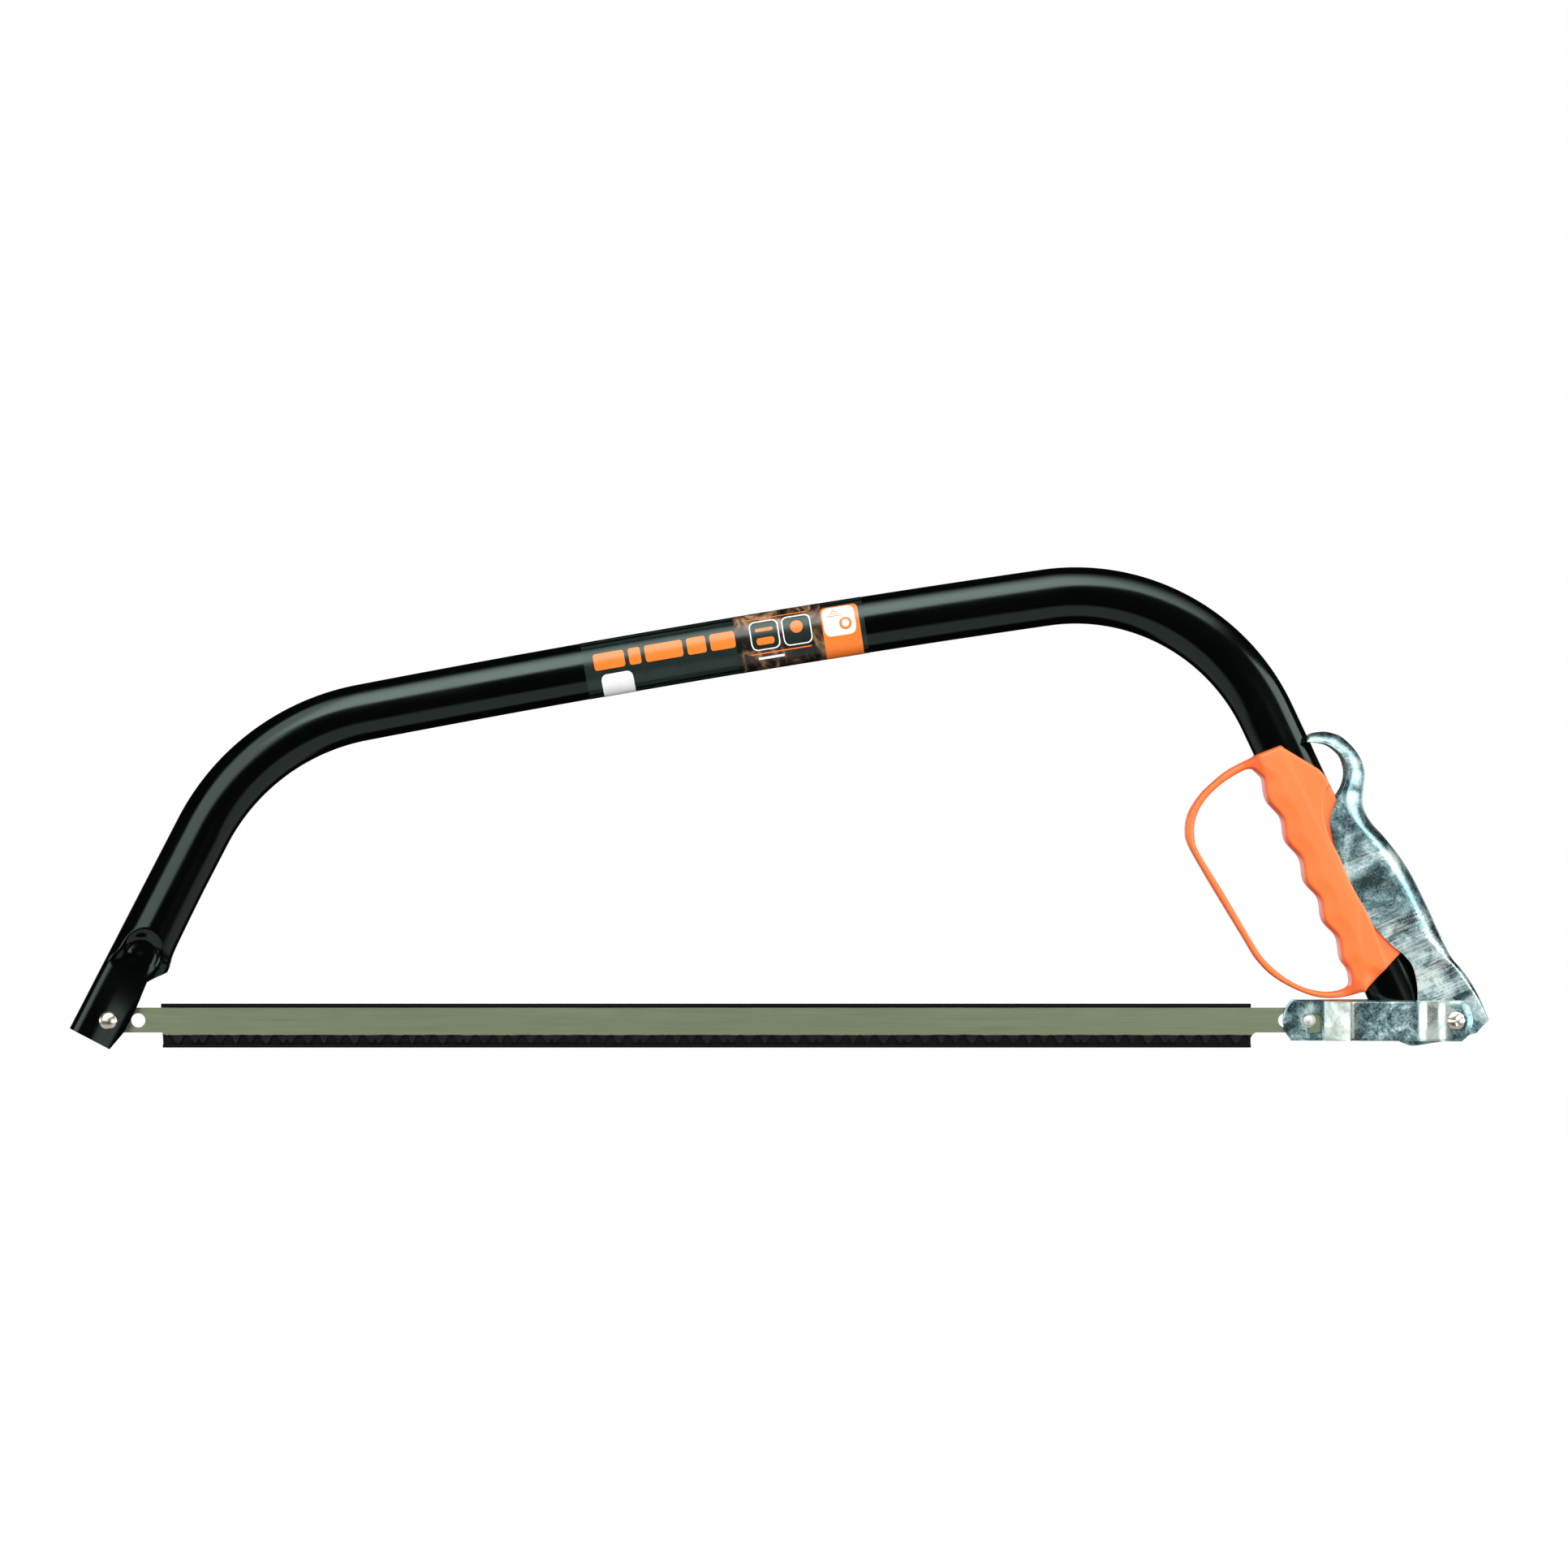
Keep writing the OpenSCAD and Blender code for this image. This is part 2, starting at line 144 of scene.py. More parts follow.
def circle(centre, radius, count, start=0.0, sweep=360.0):
    """Points on a circle or an arc, the end point left out."""
    a = np.radians(start + sweep * np.arange(count) / count)
    return np.stack([centre[0] + radius * np.cos(a), centre[1] + radius * np.sin(a)], 1)


def edge_distance(x, z, line):
    """Distance from each point to a polyline in the XZ plane."""
    best = np.full(np.shape(x), 1e9)
    for a, b in zip(line, line[1:]):
        d = b - a
        t = np.clip(((x - a[0]) * d[0] + (z - a[1]) * d[1]) / (d @ d), 0, 1)
        best = np.minimum(best, np.hypot(x - a[0] - t * d[0], z - a[1] - t * d[1]))
    return best


def signed_distance(x, z, polygon):
    """Distance to a closed outline, negative inside it."""
    ring = np.vstack([polygon, polygon[:1]])
    inside = np.zeros(np.shape(x), bool)
    for a, b in zip(ring, ring[1:]):
        crosses = (a[1] > z) != (b[1] > z)
        rise = b[1] - a[1] if b[1] != a[1] else 1e-9
        inside ^= crosses & (x < a[0] + (z - a[1]) / rise * (b[0] - a[0]))
    return np.where(inside, -1, 1) * edge_distance(x, z, ring)


def leg_frame(x, z):
    """(u, v) along and across the rear leg from the grip's centre, v outward."""
    along = direction(REAR_LEG)
    dx, dz = x - GRIP[0], z - GRIP[1]
    return dx * along[0] + dz * along[1], dz * along[0] - dx * along[1]


def leg_point(u, v):
    """The XZ point at (u, v) on the rear leg."""
    along = direction(REAR_LEG)
    return np.array([GRIP[0] + u * along[0] - v * along[1], GRIP[1] + u * along[1] + v * along[0]])


# -------------------- meshes and pieces

def mesh_object(name, points, faces, materials, face_material=None):
    """An object from points in millimetres, doubles merged and faces turned outward."""
    mesh = bpy.data.meshes.new(name)
    mesh.from_pydata(placed(points).tolist(), [], [list(map(int, f)) for f in faces])
    for material in materials:
        mesh.materials.append(material)
    if face_material is not None:
        mesh.polygons.foreach_set("material_index", face_material)
    bm = bmesh.new()
    bm.from_mesh(mesh)
    bmesh.ops.remove_doubles(bm, verts=bm.verts, dist=1e-6)
    bmesh.ops.dissolve_degenerate(bm, edges=bm.edges, dist=1e-7)
    bmesh.ops.recalc_face_normals(bm, faces=bm.faces)
    bm.to_mesh(mesh)
    bm.free()
    obj = bpy.data.objects.new(name, mesh)
    bpy.context.scene.collection.objects.link(obj)
    return obj


def thicken(obj, thickness):
    """Gives an open sheet its thickness, on the inner side."""
    solid = obj.modifiers.new("thickness", "SOLIDIFY")
    solid.thickness = thickness * MM
    solid.offset = -1.0
    solid.use_even_offset = True
    solid.thickness_clamp = 1.0


def bevel(obj, width):
    """Breaks the sharp edges of an object."""
    edge = obj.modifiers.new("edges", "BEVEL")
    edge.width = width * MM
    edge.segments = 2
    edge.limit_method = "ANGLE"
    edge.angle_limit = math.radians(50)


def settle(obj, node, angle=38):
    """Applies the modifiers, shades the mesh and puts the piece in place of its CAD node."""
    if obj.modifiers:
        depsgraph = bpy.context.evaluated_depsgraph_get()
        mesh = bpy.data.meshes.new_from_object(obj.evaluated_get(depsgraph))
        obj.modifiers.clear()
        obj.data = mesh
    obj.data.shade_smooth()
    obj.data.set_sharp_from_angle(angle=math.radians(angle))
    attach(obj, NODE_BODY[node])
    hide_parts(node)


def grid_faces(rows, columns, closed=False):
    """Quads of a rows x columns grid of points, its columns joined up if closed."""
    last = columns if closed else columns - 1
    return [
        (i * columns + j, i * columns + (j + 1) % columns,
         (i + 1) * columns + (j + 1) % columns, (i + 1) * columns + j)
        for i in range(rows - 1)
        for j in range(last)
    ]


def lathe(centre, profile, count=40):
    """Points and faces of a turned shape about the Y axis, from (radius, y) pairs."""
    points = []
    for radius, y in profile:
        for k in range(count):
            a = 2 * math.pi * k / count
            points.append((centre[0] + radius * math.cos(a), y, centre[1] + radius * math.sin(a)))
    return points, grid_faces(len(profile), count, closed=True)


def flat_mesh(outline, holes, spacing):
    """Triangles that fill an outline in the XZ plane, with an even grid of points inside."""
    loops = [np.array(outline)] + [np.array(h) for h in holes]
    points, edges = [], []
    for loop in loops:
        start = len(points)
        points += [Vector(p) for p in loop]
        edges += [(start + i, start + (i + 1) % len(loop)) for i in range(len(loop))]
    low, high = loops[0].min(0), loops[0].max(0)
    gx, gz = np.meshgrid(np.arange(low[0] + spacing / 2, high[0], spacing),
                         np.arange(low[1] + spacing / 2, high[1], spacing))
    keep = signed_distance(gx, gz, loops[0]) < -0.45 * spacing
    for hole in loops[1:]:
        keep &= signed_distance(gx, gz, hole) > 0.45 * spacing
    points += [Vector(p) for p in np.stack([gx[keep], gz[keep]], 1)]
    found = delaunay_2d_cdt(points, edges, [], 0, 1e-6)
    flat = np.array([tuple(v) for v in found[0]])
    faces = found[2]
    centres = np.array([flat[list(f)].mean(0) for f in faces])
    wanted = signed_distance(centres[:, 0], centres[:, 1], loops[0]) < 0
    for hole in loops[1:]:
        wanted &= signed_distance(centres[:, 0], centres[:, 1], hole) > 0
    return flat, [f for f, w in zip(faces, wanted) if w]


def surface_net(field, origin, step):
    """The zero surface of a 3-D array of signed distances: one point per crossed cell, and quads."""
    size = np.array(field.shape) - 1
    total = np.zeros((*size, 3))
    count = np.zeros(size)
    corners = [(i, j, k) for i in (0, 1) for j in (0, 1) for k in (0, 1)]

    def corner(c):
        return field[c[0]:c[0] + size[0], c[1]:c[1] + size[1], c[2]:c[2] + size[2]]

    for low in corners:
        for axis in range(3):
            if low[axis]:
                continue
            high = tuple(1 if k == axis else low[k] for k in range(3))
            a, b = corner(low), corner(high)
            cross = (a < 0) != (b < 0)
            t = np.where(cross, a / np.where(cross, a - b, 1), 0)
            for k in range(3):
                total[..., k] += np.where(cross, low[k] + (t if k == axis else 0), 0)
            count += cross
    active = count > 0
    index = np.full(size, -1)
    index[active] = np.arange(active.sum())
    cells = np.stack(np.nonzero(active), 1)
    points = (cells + total[active] / count[active][:, None]) * step + np.array(origin)
    inside = field < 0
    faces = []
    for axis in range(3):
        near = np.moveaxis(inside, axis, 0)
        lines = np.moveaxis(index, axis, 0)
        first = near[:-1, 1:-1, 1:-1]
        cross = first != near[1:, 1:-1, 1:-1]
        quad = np.stack([lines[:, :-1, :-1], lines[:, 1:, :-1], lines[:, 1:, 1:],
                         lines[:, :-1, 1:]], -1)
        turned = np.where((first ^ (axis == 1))[..., None], quad, quad[..., ::-1])
        faces.append(turned[cross])
    return points, np.vstack(faces)


# -------------------- materials

def ramp_node(tree, source, stops):
    """A ramp from (position, value) pairs, where a value is a grey or a colour."""
    node = tree.nodes.new("ShaderNodeValToRGB")
    elements = node.color_ramp.elements
    while len(elements) < len(stops):
        elements.new(0.5)
    for element, (position, value) in zip(elements, stops):
        element.position = position
        grey = isinstance(value, (int, float))
        element.color = (value, value, value, 1) if grey else (*value, 1)
    tree.links.new(source, node.inputs[0])
    return node.outputs[0]


def plug(tree, socket, value):
    """Gives an input a number, a colour or another node's output."""
    if isinstance(value, (int, float)):
        socket.default_value = value
    elif isinstance(value, tuple):
        socket.default_value = (*value, 1)
    else:
        tree.links.new(value, socket)


def math_node(tree, operation, *operands):
    node = tree.nodes.new("ShaderNodeMath")
    node.operation = operation
    for socket, value in zip(node.inputs, operands):
        plug(tree, socket, value)
    return node.outputs[0]


class Surface:
    """A Principled material and short names for the nodes that vary it."""

    def __init__(self, name, colour, metallic=0.0, roughness=0.4, **sockets):
        self.material = bpy.data.materials.new(name)
        self.material.use_nodes = True
        self.tree = self.material.node_tree
        self.shader = self.tree.nodes["Principled BSDF"]
        self.shader.inputs["Base Color"].default_value = (*colour, 1)
        self.shader.inputs["Metallic"].default_value = metallic
        self.shader.inputs["Roughness"].default_value = roughness
        for key, value in sockets.items():
            self.shader.inputs[key.replace("_", " ")].default_value = value
        self.coords = self.tree.nodes.new("ShaderNodeTexCoord").outputs["Object"]

    def link(self, source, target):
        self.tree.links.new(source, target)

    def set(self, socket, source):
        self.link(source, self.shader.inputs[socket])

    def stretched(self, scale, turn=(0, 0, 0)):
        """Object coordinates, turned by degrees and then scaled."""
        node = self.tree.nodes.new("ShaderNodeMapping")
        node.vector_type = "POINT"
        turned = self.tree.nodes.new("ShaderNodeMapping")
        turned.inputs["Rotation"].default_value = [math.radians(a) for a in turn]
        node.inputs["Scale"].default_value = scale
        self.link(self.coords, turned.inputs["Vector"])
        self.link(turned.outputs[0], node.inputs["Vector"])
        return node.outputs[0]

    def noise(self, scale, detail=2.0, roughness=0.5, vector=None, distortion=0.0):
        node = self.tree.nodes.new("ShaderNodeTexNoise")
        node.inputs["Scale"].default_value = scale
        node.inputs["Detail"].default_value = detail
        node.inputs["Roughness"].default_value = roughness
        node.inputs["Distortion"].default_value = distortion
        self.link(vector or self.coords, node.inputs["Vector"])
        return node.outputs["Fac"]

    def ramp(self, source, *stops):
        return ramp_node(self.tree, source, stops)

    def math(self, operation, a, b):
        return math_node(self.tree, operation, a, b)

    def mix(self, factor, a, b):
        """A blend of two colours, which are tuples or sockets."""
        node = self.tree.nodes.new("ShaderNodeMix")
        node.data_type = "RGBA"
        for index, value in ((0, factor), (6, a), (7, b)):
            plug(self.tree, node.inputs[index], value)
        return node.outputs[2]

    def axis(self, name):
        """One coordinate, X, Y or Z, in metres."""
        node = self.tree.nodes.new("ShaderNodeSeparateXYZ")
        self.link(self.coords, node.inputs[0])
        return node.outputs[name]

    def bump(self, height, depth):
        """Surface relief of that depth in millimetres."""
        node = self.tree.nodes.new("ShaderNodeBump")
        node.inputs["Distance"].default_value = depth * MM
        node.inputs["Strength"].default_value = 1.0
        self.link(height, node.inputs["Height"])
        self.set("Normal", node.outputs[0])


GLOSS_TINT = (0.76, 1.0, 0.9, 1)


def enamel():
    """Gloss black enamel with a faint orange peel and a slightly uneven gloss."""
    s = Surface("enamel_black", (0.0006, 0.0008, 0.0009), roughness=0.13, Specular_IOR_Level=0.5,
                Specular_Tint=GLOSS_TINT)
    s.set("Roughness", s.ramp(s.noise(38, 3), (0.3, 0.11), (0.75, 0.17)))
    s.bump(s.noise(420, 1.5), 0.006)
    return s.material


def zinc(name, cloud, scratch_turn, scratches, scored=None, painted_highlight_spans=()):
    """Zinc plate: cloudy patches, fine speckle and scratches.

    Scratches are dense between the two heights of scored, and each X range of the last argument (mm
    from the front pin) is painted an even pale colour: a painted highlight where the joggle catches
    light."""
    s = Surface(name, (0.6, 0.65, 0.67), metallic=1.0, roughness=0.3)
    clouds = s.noise(cloud, 5, 0.62, distortion=0.6)
    speckle = s.noise(1150, 2, 0.6)
    mottle = s.math("ADD", s.math("MULTIPLY", clouds, 0.73), s.math("MULTIPLY", speckle, 0.27))
    base = s.ramp(mottle, (0.4, (0.18, 0.31, 0.34)), (0.47, (0.24, 0.42, 0.45)),
                  (0.54, (0.44, 0.65, 0.67)), (0.63, (0.84, 0.97, 0.93)))
    lines = s.noise(1.0, 2, 0.6, vector=s.stretched((60, 900, 1500), scratch_turn))
    cut = s.ramp(lines, (0.6, 0.0), (0.68, 1.0))
    patch = s.ramp(s.noise(55, 2), (0.5 - scratches, 0.0), (0.62 - scratches, 1.0))
    if scored:
        reach = 200
        share = s.math("DIVIDE", s.math("SUBTRACT", s.axis("Z"), PIN[1]), reach * MM)
        low, high = (h / reach for h in scored)
        zone = s.ramp(share, (low, 0.0), (low + 0.02, 1.0), (high - 0.03, 1.0), (high, 0.0))
        dense = s.noise(1.0, 2, 0.6, vector=s.stretched((45, 700, 900), scratch_turn))
        dense = s.math("MULTIPLY", s.ramp(dense, (0.5, 0.0), (0.58, 1.0)), zone)
        cut = s.math("MAXIMUM", s.math("MULTIPLY", cut, patch), dense)
    else:
        cut = s.math("MULTIPLY", cut, patch)
    # Painted highlight: an even pale colour over the link's joggled slopes and steps, standing in
    # for the light they catch
    for ends in painted_highlight_spans:
        reach = 1000
        share = s.math("DIVIDE", s.math("SUBTRACT", s.axis("X"), PIN[0]), reach * MM)
        low, high = (a / reach for a in ends)
        painted_highlight = s.ramp(share, (low, 0.0), (low + 0.001, 0.85), (high - 0.001, 0.85), (high, 0.0))
        base = s.mix(painted_highlight, base, (0.62, 0.68, 0.61))
    s.set("Base Color", s.mix(cut, base, (0.86, 0.95, 0.92)))
    s.set("Roughness", s.ramp(mottle, (0.4, 0.24), (0.5, 0.36), (0.6, 0.52)))
    s.bump(s.math("ADD", s.math("MULTIPLY", speckle, 0.2), cut), 0.007)
    return s.material


def blade_steel():
    """Oiled steel brushed along its length, with dark hardened teeth."""
    s = Surface("blade_steel", (0.3, 0.3, 0.24), metallic=0.85, roughness=0.36)
    streaks = s.noise(1.0, 4, 0.65, vector=s.stretched((14, 200, 2600)))
    fine = s.noise(1.0, 2, 0.6, vector=s.stretched((60, 200, 5200)))
    grain = s.math("ADD", s.math("MULTIPLY", streaks, 0.6), s.math("MULTIPLY", fine, 0.4))
    bare = s.ramp(grain, (0.3, (0.25, 0.305, 0.19)), (0.5, (0.31, 0.37, 0.235)),
                  (0.7, (0.37, 0.435, 0.285)))
    height = s.math("SUBTRACT", s.axis("Z"), PIN[1])
    tint = s.ramp(s.math("MULTIPLY", height, -1 / (12 * MM)), (0.38, 0.0), (0.52, 0.55))
    bare = s.mix(tint, bare, (0.36, 0.385, 0.2))
    wave = s.math("MULTIPLY", s.math("SUBTRACT", s.noise(130, 2), 0.5), 0.9 * MM)
    hard = s.math("LESS_THAN", s.math("ADD", height, wave), -7.35 * MM)
    s.set("Base Color", s.mix(hard, bare, (0.024, 0.024, 0.031)))
    s.set("Roughness", s.ramp(grain, (0.3, 0.3), (0.7, 0.44)))
    s.bump(grain, 0.008)
    return s.material


def orange_plastic():
    """Satin moulded plastic, a fine spark-eroded grain."""
    s = Surface("grip_orange", (1.0, 0.14, 0.017), roughness=0.44, Specular_IOR_Level=0.9)
    s.set("Base Color", s.ramp(s.noise(26, 3), (0.3, (1.0, 0.135, 0.016)), (0.7, (1.0, 0.15, 0.02))))
    s.set("Roughness", s.ramp(s.noise(60, 3), (0.3, 0.42), (0.7, 0.5)))
    s.bump(s.noise(2600, 2), 0.012)
    return s.material


def guard_plastic():
    """Extruded black plastic with lengthwise draw lines."""
    s = Surface("guard_black", (0.0016, 0.002, 0.0026), roughness=0.36,
                Specular_IOR_Level=0.22)
    lines = s.noise(1.0, 3, vector=s.stretched((6, 700, 1400)))
    s.set("Roughness", s.ramp(lines, (0.35, 0.3), (0.7, 0.44)))
    s.bump(lines, 0.012)
    return s.material


def nickel(name, colour, roughness):
    """Plated steel of a pin or rivet, with tool marks."""
    s = Surface(name, colour, metallic=1.0, roughness=roughness)
    marks = s.noise(480, 3, 0.65)
    s.set("Roughness", s.ramp(marks, (0.3, roughness * 0.7), (0.75, roughness * 1.5)))
    s.set("Base Color", s.ramp(marks, (0.3, tuple(0.8 * c for c in colour)), (0.6, colour)))
    s.bump(marks, 0.03)
    return s.material


def film(name, colour, roughness, spread=0.15):
    """Glossy printed film: a nearly flat ink and slight wrinkles."""
    s = Surface(name, colour, roughness=roughness, Specular_IOR_Level=0.5,
                Specular_Tint=GLOSS_TINT)
    ink = s.noise(160, 3)
    s.set("Base Color", s.ramp(ink, (0.3, tuple(c * (1 - spread) for c in colour)),
                               (0.7, tuple(min(1.0, c * (1 + spread)) for c in colour))))
    s.bump(s.noise(90, 2), 0.02)
    return s.material


def wood_print():
    """The brown, grainy print of sawn wood on the film."""
    s = Surface("print_wood", (0.12, 0.06, 0.03), roughness=0.2)
    grain = s.noise(1.0, 5, 0.62, vector=s.stretched((110, 90, 60), (0, 24, 0)), distortion=1.2)
    s.set("Base Color", s.ramp(grain, (0.4, (0.006, 0.006, 0.005)), (0.5, (0.035, 0.022, 0.012)),
                               (0.58, (0.16, 0.09, 0.045)), (0.68, (0.36, 0.26, 0.15))))
    return s.material


ENAMEL = enamel()
ZINC_LEVER = zinc("zinc_lever", 60, (0, 24, 0), 0.08, scored=(8, 58))
# The link's zinc carries a painted highlight over the joggle's slope and steps (X 615.6-630 and
# 661-677 mm)
ZINC_LINK = zinc("zinc_link", 90, (0, 40, 0), 0.0, painted_highlight_spans=((615.6, 630.0), (661, 677)))
BLADE = blade_steel()
ORANGE = orange_plastic()
GUARD = guard_plastic()
PIN_METAL = nickel("pin_nickel", (0.86, 0.81, 0.68), 0.28)
PIN_BRIGHT = nickel("pin_bright", (0.96, 0.97, 0.93), 0.6)
DARK_ZINC = nickel("clip_zinc", (0.42, 0.44, 0.46), 0.34)


# -------------------- the bow

def arc_path(start, heading, radius, turn, step):
    """Points and headings along an arc that turns right, after its start."""
    centre = start + radius * np.array([math.sin(math.radians(heading)),
                                        -math.cos(math.radians(heading))])
    count = max(2, round(radius * math.radians(turn) / step))
    headings = heading - turn * np.arange(1, count + 1) / count
    return [(centre + radius * np.array([-math.sin(math.radians(h)), math.cos(math.radians(h))]), h)
            for h in headings]


def bow_path():
    """(point, heading) from the start of the front bend to the rear leg."""
    start = np.array(LEG_POINT) - 2.1 * direction(FRONT_LEG)
    path = [(start, FRONT_LEG)]
    path += arc_path(*path[-1], 115.0, 51.8, 2.0)
    path += arc_path(*path[-1], BAR_RADIUS, 2.7, 12.0)
    path += arc_path(*path[-1], 107.0, 8.2 - REAR_LEG, 2.0)
    return path


# (distance down the front leg, distance of the fork's inner edge from the middle), and the same
# for the edge at which the fork's mouth is open
FORK_EDGE = curve([(30, 14.35), (48, 14.7), (62.5, 15.2), (68.5, 16.2), (73, 16.8), (90, 16.8)], 8)
MOUTH = np.array([(73.6, 16.8), (74.4, 16.2), (81.6, 10.9), (82.8, 10.35), (84.5, 10.5), (96, 11.5),
                  (110, 11.7), (FORK_END, 9.1)])


def press_depth(n, s):
    """Half thickness that the press leaves at n across and s down the front leg."""
    reach = np.hypot(n - 1.2, np.minimum(s - 71, 0))
    ring = 7.4 * smooth(6.6, 16.4, reach) * (1 - smooth(70, 83, s))
    dimple = 1.0 * np.exp(-((n + 2.8) / 4.8) ** 2 - ((s - 72.6) / 4.8) ** 2)
    past = n + 2.0
    tilt = 0.075 * smooth(84, 104, s) * (past + np.sqrt(past**2 + 2.0)) / 2
    slope = 0.4 * (1 - smooth(70, 96, s))
    return 4.75 + ring + dimple + tilt + slope


def section(across, s=None, trim=0.0):
    """One half of the tube's section: (n, y) from the inner edge to the outer edge.

    Down the front leg, s is the distance from LEG_POINT; trim shortens the fork's mouth edge."""
    wide = TUBE_WIDE
    start = 0.0
    if s is not None:
        wide = np.interp(s, FORK_EDGE[:, 0], FORK_EDGE[:, 1])
        cut = np.interp(s, MOUTH[:, 0], MOUTH[:, 1]) - trim * smooth(76, 84, s)
        start = math.acos(min(1.0, cut / wide)) if s > MOUTH[0, 0] else 0.0
    a = start + (math.pi - start) * across
    n = np.where(np.cos(a) > 0, wide, TUBE_WIDE) * np.cos(a)
    y = TUBE_THIN * np.sin(a)
    if s is not None and s > 40:
        y = soft_min(y, press_depth(n, s), 2.6)
    return n, y


def bow_tube():
    """The tube: flattened fork, two bends, and the rear leg, open at both ends."""
    even = np.linspace(0, 1, 73)
    across = 0.35 * (1 - np.cos(np.pi * even)) / 2 + 0.65 * even
    rings = []

    def half_ring(origin, right, n, y):
        line = origin + n[:, None] * right[None, :]
        return np.stack([line[:, 0], y, line[:, 1]], 1)

    def ring(origin, right, near, far):
        first = half_ring(origin, right, near[0], -near[1])
        second = half_ring(origin, right, far[0], far[1])
        return np.vstack([first, second[::-1][1:]])

    up = direction(FRONT_LEG)
    right = np.array([up[1], -up[0]])
    stations = np.concatenate([np.arange(FORK_END, 44, -0.5), np.arange(44, 3, -4.0)])
    for s in stations:
        near = section(across, s)
        far = section(across, s, trim=1.3)
        rings.append(ring(np.array(LEG_POINT) - s * up, right, near, far))
    path = bow_path()
    half = section(across)
    for point, heading in path:
        t = direction(heading)
        rings.append(ring(np.array(point), np.array([t[1], -t[0]]), half, half))
    t = direction(REAR_LEG)
    right = np.array([t[1], -t[0]])
    n = half[0]
    u0 = leg_frame(*path[-1][0])[0]
    pivot_u = leg_frame(*LEVER_PIVOT)[0]
    # The leg ends in a slant that is rounded about the lever's pivot
    end_radius, steps = 16, 23
    end = np.minimum(92.7 - 0.467 * n, pivot_u + np.sqrt(end_radius**2 - n**2))
    for k in range(1, steps + 1):
        base = np.array([leg_point(u0 + (e - u0) * k / steps, 0) for e in end])
        rings.append(ring(base, right, half, half))
    points = np.vstack(rings)
    obj = mesh_object("bow_tube", points, grid_faces(len(rings), len(rings[0])), [ENAMEL])
    thicken(obj, TUBE_WALL)
    settle(obj, "frame_tube", angle=50)


# -------------------- pins and rivets

def dome_profile(radius, height, base, rim=0.35):
    """(radius, y) pairs of a domed head that stands out from y = base toward the camera."""
    steps = 9
    sweep = [math.pi / 2 * k / steps for k in range(steps + 1)]
    dome = [(radius * math.cos(a), base - rim - (height - rim) * math.sin(a)) for a in sweep[:-1]]
    return [(radius * 0.9, base), (radius, base)] + dome + [(0.02, base - height)]


def front_pin():
    """Round-headed pin through the fork."""
    profile = dome_profile(4.75, 2.6, -5.0)
    shank = [(3.5, 7.0), (3.5, -5.0)]
    points, faces = lathe((0, 0), [(0.02, 7.3), (3.2, 7.3)] + shank + profile[1:])
    obj = mesh_object("front_pin", points, faces, [PIN_METAL])
    settle(obj, "front_blade_pin", angle=30)


def rear_pin():
    """Stepped pin in the rear end of the blade; its far shank is thinner than the CAD's."""
    head = [(0.02, 3.4), (3.7, 3.4), (4.2, 3.0), (4.2, 2.4), (1.85, 2.4), (1.85, 0.41), (3.6, 0.4)]
    nose = [(3.6, -0.4), (2.9, -0.41)]
    nose += [(2.9 * math.cos(a), -2.0 - 1.4 * math.sin(a)) for a in np.radians(np.arange(0, 90, 10))]
    nose += [(0.02, -3.4)]
    points, faces = lathe(REAR_PIN, head + nose)
    obj = mesh_object("rear_pin", points, faces, [PIN_BRIGHT])
    settle(obj, "rear_blade_pin", angle=30)


def peened(radius, angle):
    """Three shallow furrows that the riveting tool leaves in a head."""
    gap = min(abs((angle - a + math.pi) % (2 * math.pi) - math.pi) for a in (0.9, 3.0, 5.1))
    return 0.3 * math.exp(-((gap * radius / 0.6) ** 2)) * min(1.0, radius / 1.2)


def link_rivet():
    """Rivet through both link plates and the lever's tail."""
    head = dome_profile(4.6, 1.5, -12.8, rim=0.3)
    points, faces = lathe(LINK_PIVOT, [(2.8, 0.0)] + head[1:], count=60)
    lifted = []
    for x, y, z in points:
        dx, dz = x - LINK_PIVOT[0], z - LINK_PIVOT[1]
        radius, angle = math.hypot(dx, dz), math.atan2(dz, dx) % (2 * math.pi)
        on_top = y < -13 and radius < 4
        lifted.append((x, y + (peened(radius, angle) if on_top else 0), z))
    far = [(x, -y, z) for x, y, z in lifted]
    shift = len(points)
    faces = faces + [tuple(i + shift for i in f[::-1]) for f in faces]
    obj = mesh_object("link_rivet_shaped", lifted + far, faces, [PIN_METAL])
    settle(obj, "link_rivet", angle=30)


# -------------------- blade and guard

RAKER_PITCH = 44.66
RAKER_START = 45.4
GULLETS = (0.138, 0.335, 0.5, 0.665, 0.862)
TOOTH_ROOT, TOOTH_TIP, RAKER_TIP = -7.2, -12.1, -11.7


def gullet(x):
    """Outline of the rounded gap between two teeth."""
    wide = 2.3
    side = [(x - wide, -9.8), (x - wide * 0.8, -8.4), (x - wide * 0.45, -7.55)]
    return side + [(x, TOOTH_ROOT)] + [(2 * x - a, z) for a, z in side[::-1]]


def tooth_line():
    """The cutting edge from heel to toe: groups of four peg teeth between notched rakers."""
    line = []
    for i in range(-1, 12):
        x = RAKER_START + i * RAKER_PITCH
        line += [(x - 0.4, RAKER_TIP + 1.9), (x, RAKER_TIP + 2.3), (x + 0.4, RAKER_TIP + 1.9),
                 (x + 1.7, RAKER_TIP)]
        for a, b in zip(GULLETS, GULLETS[1:] + (None,)):
            line += gullet(x + a * RAKER_PITCH)
            if b is None:
                line.append((x + RAKER_PITCH - 1.7, RAKER_TIP))
            else:
                middle = x + (a + b) / 2 * RAKER_PITCH
                line += [(middle - 0.25, TOOTH_TIP), (middle + 0.25, TOOTH_TIP)]
    return [p for p in line if 29 < p[0] < 578]


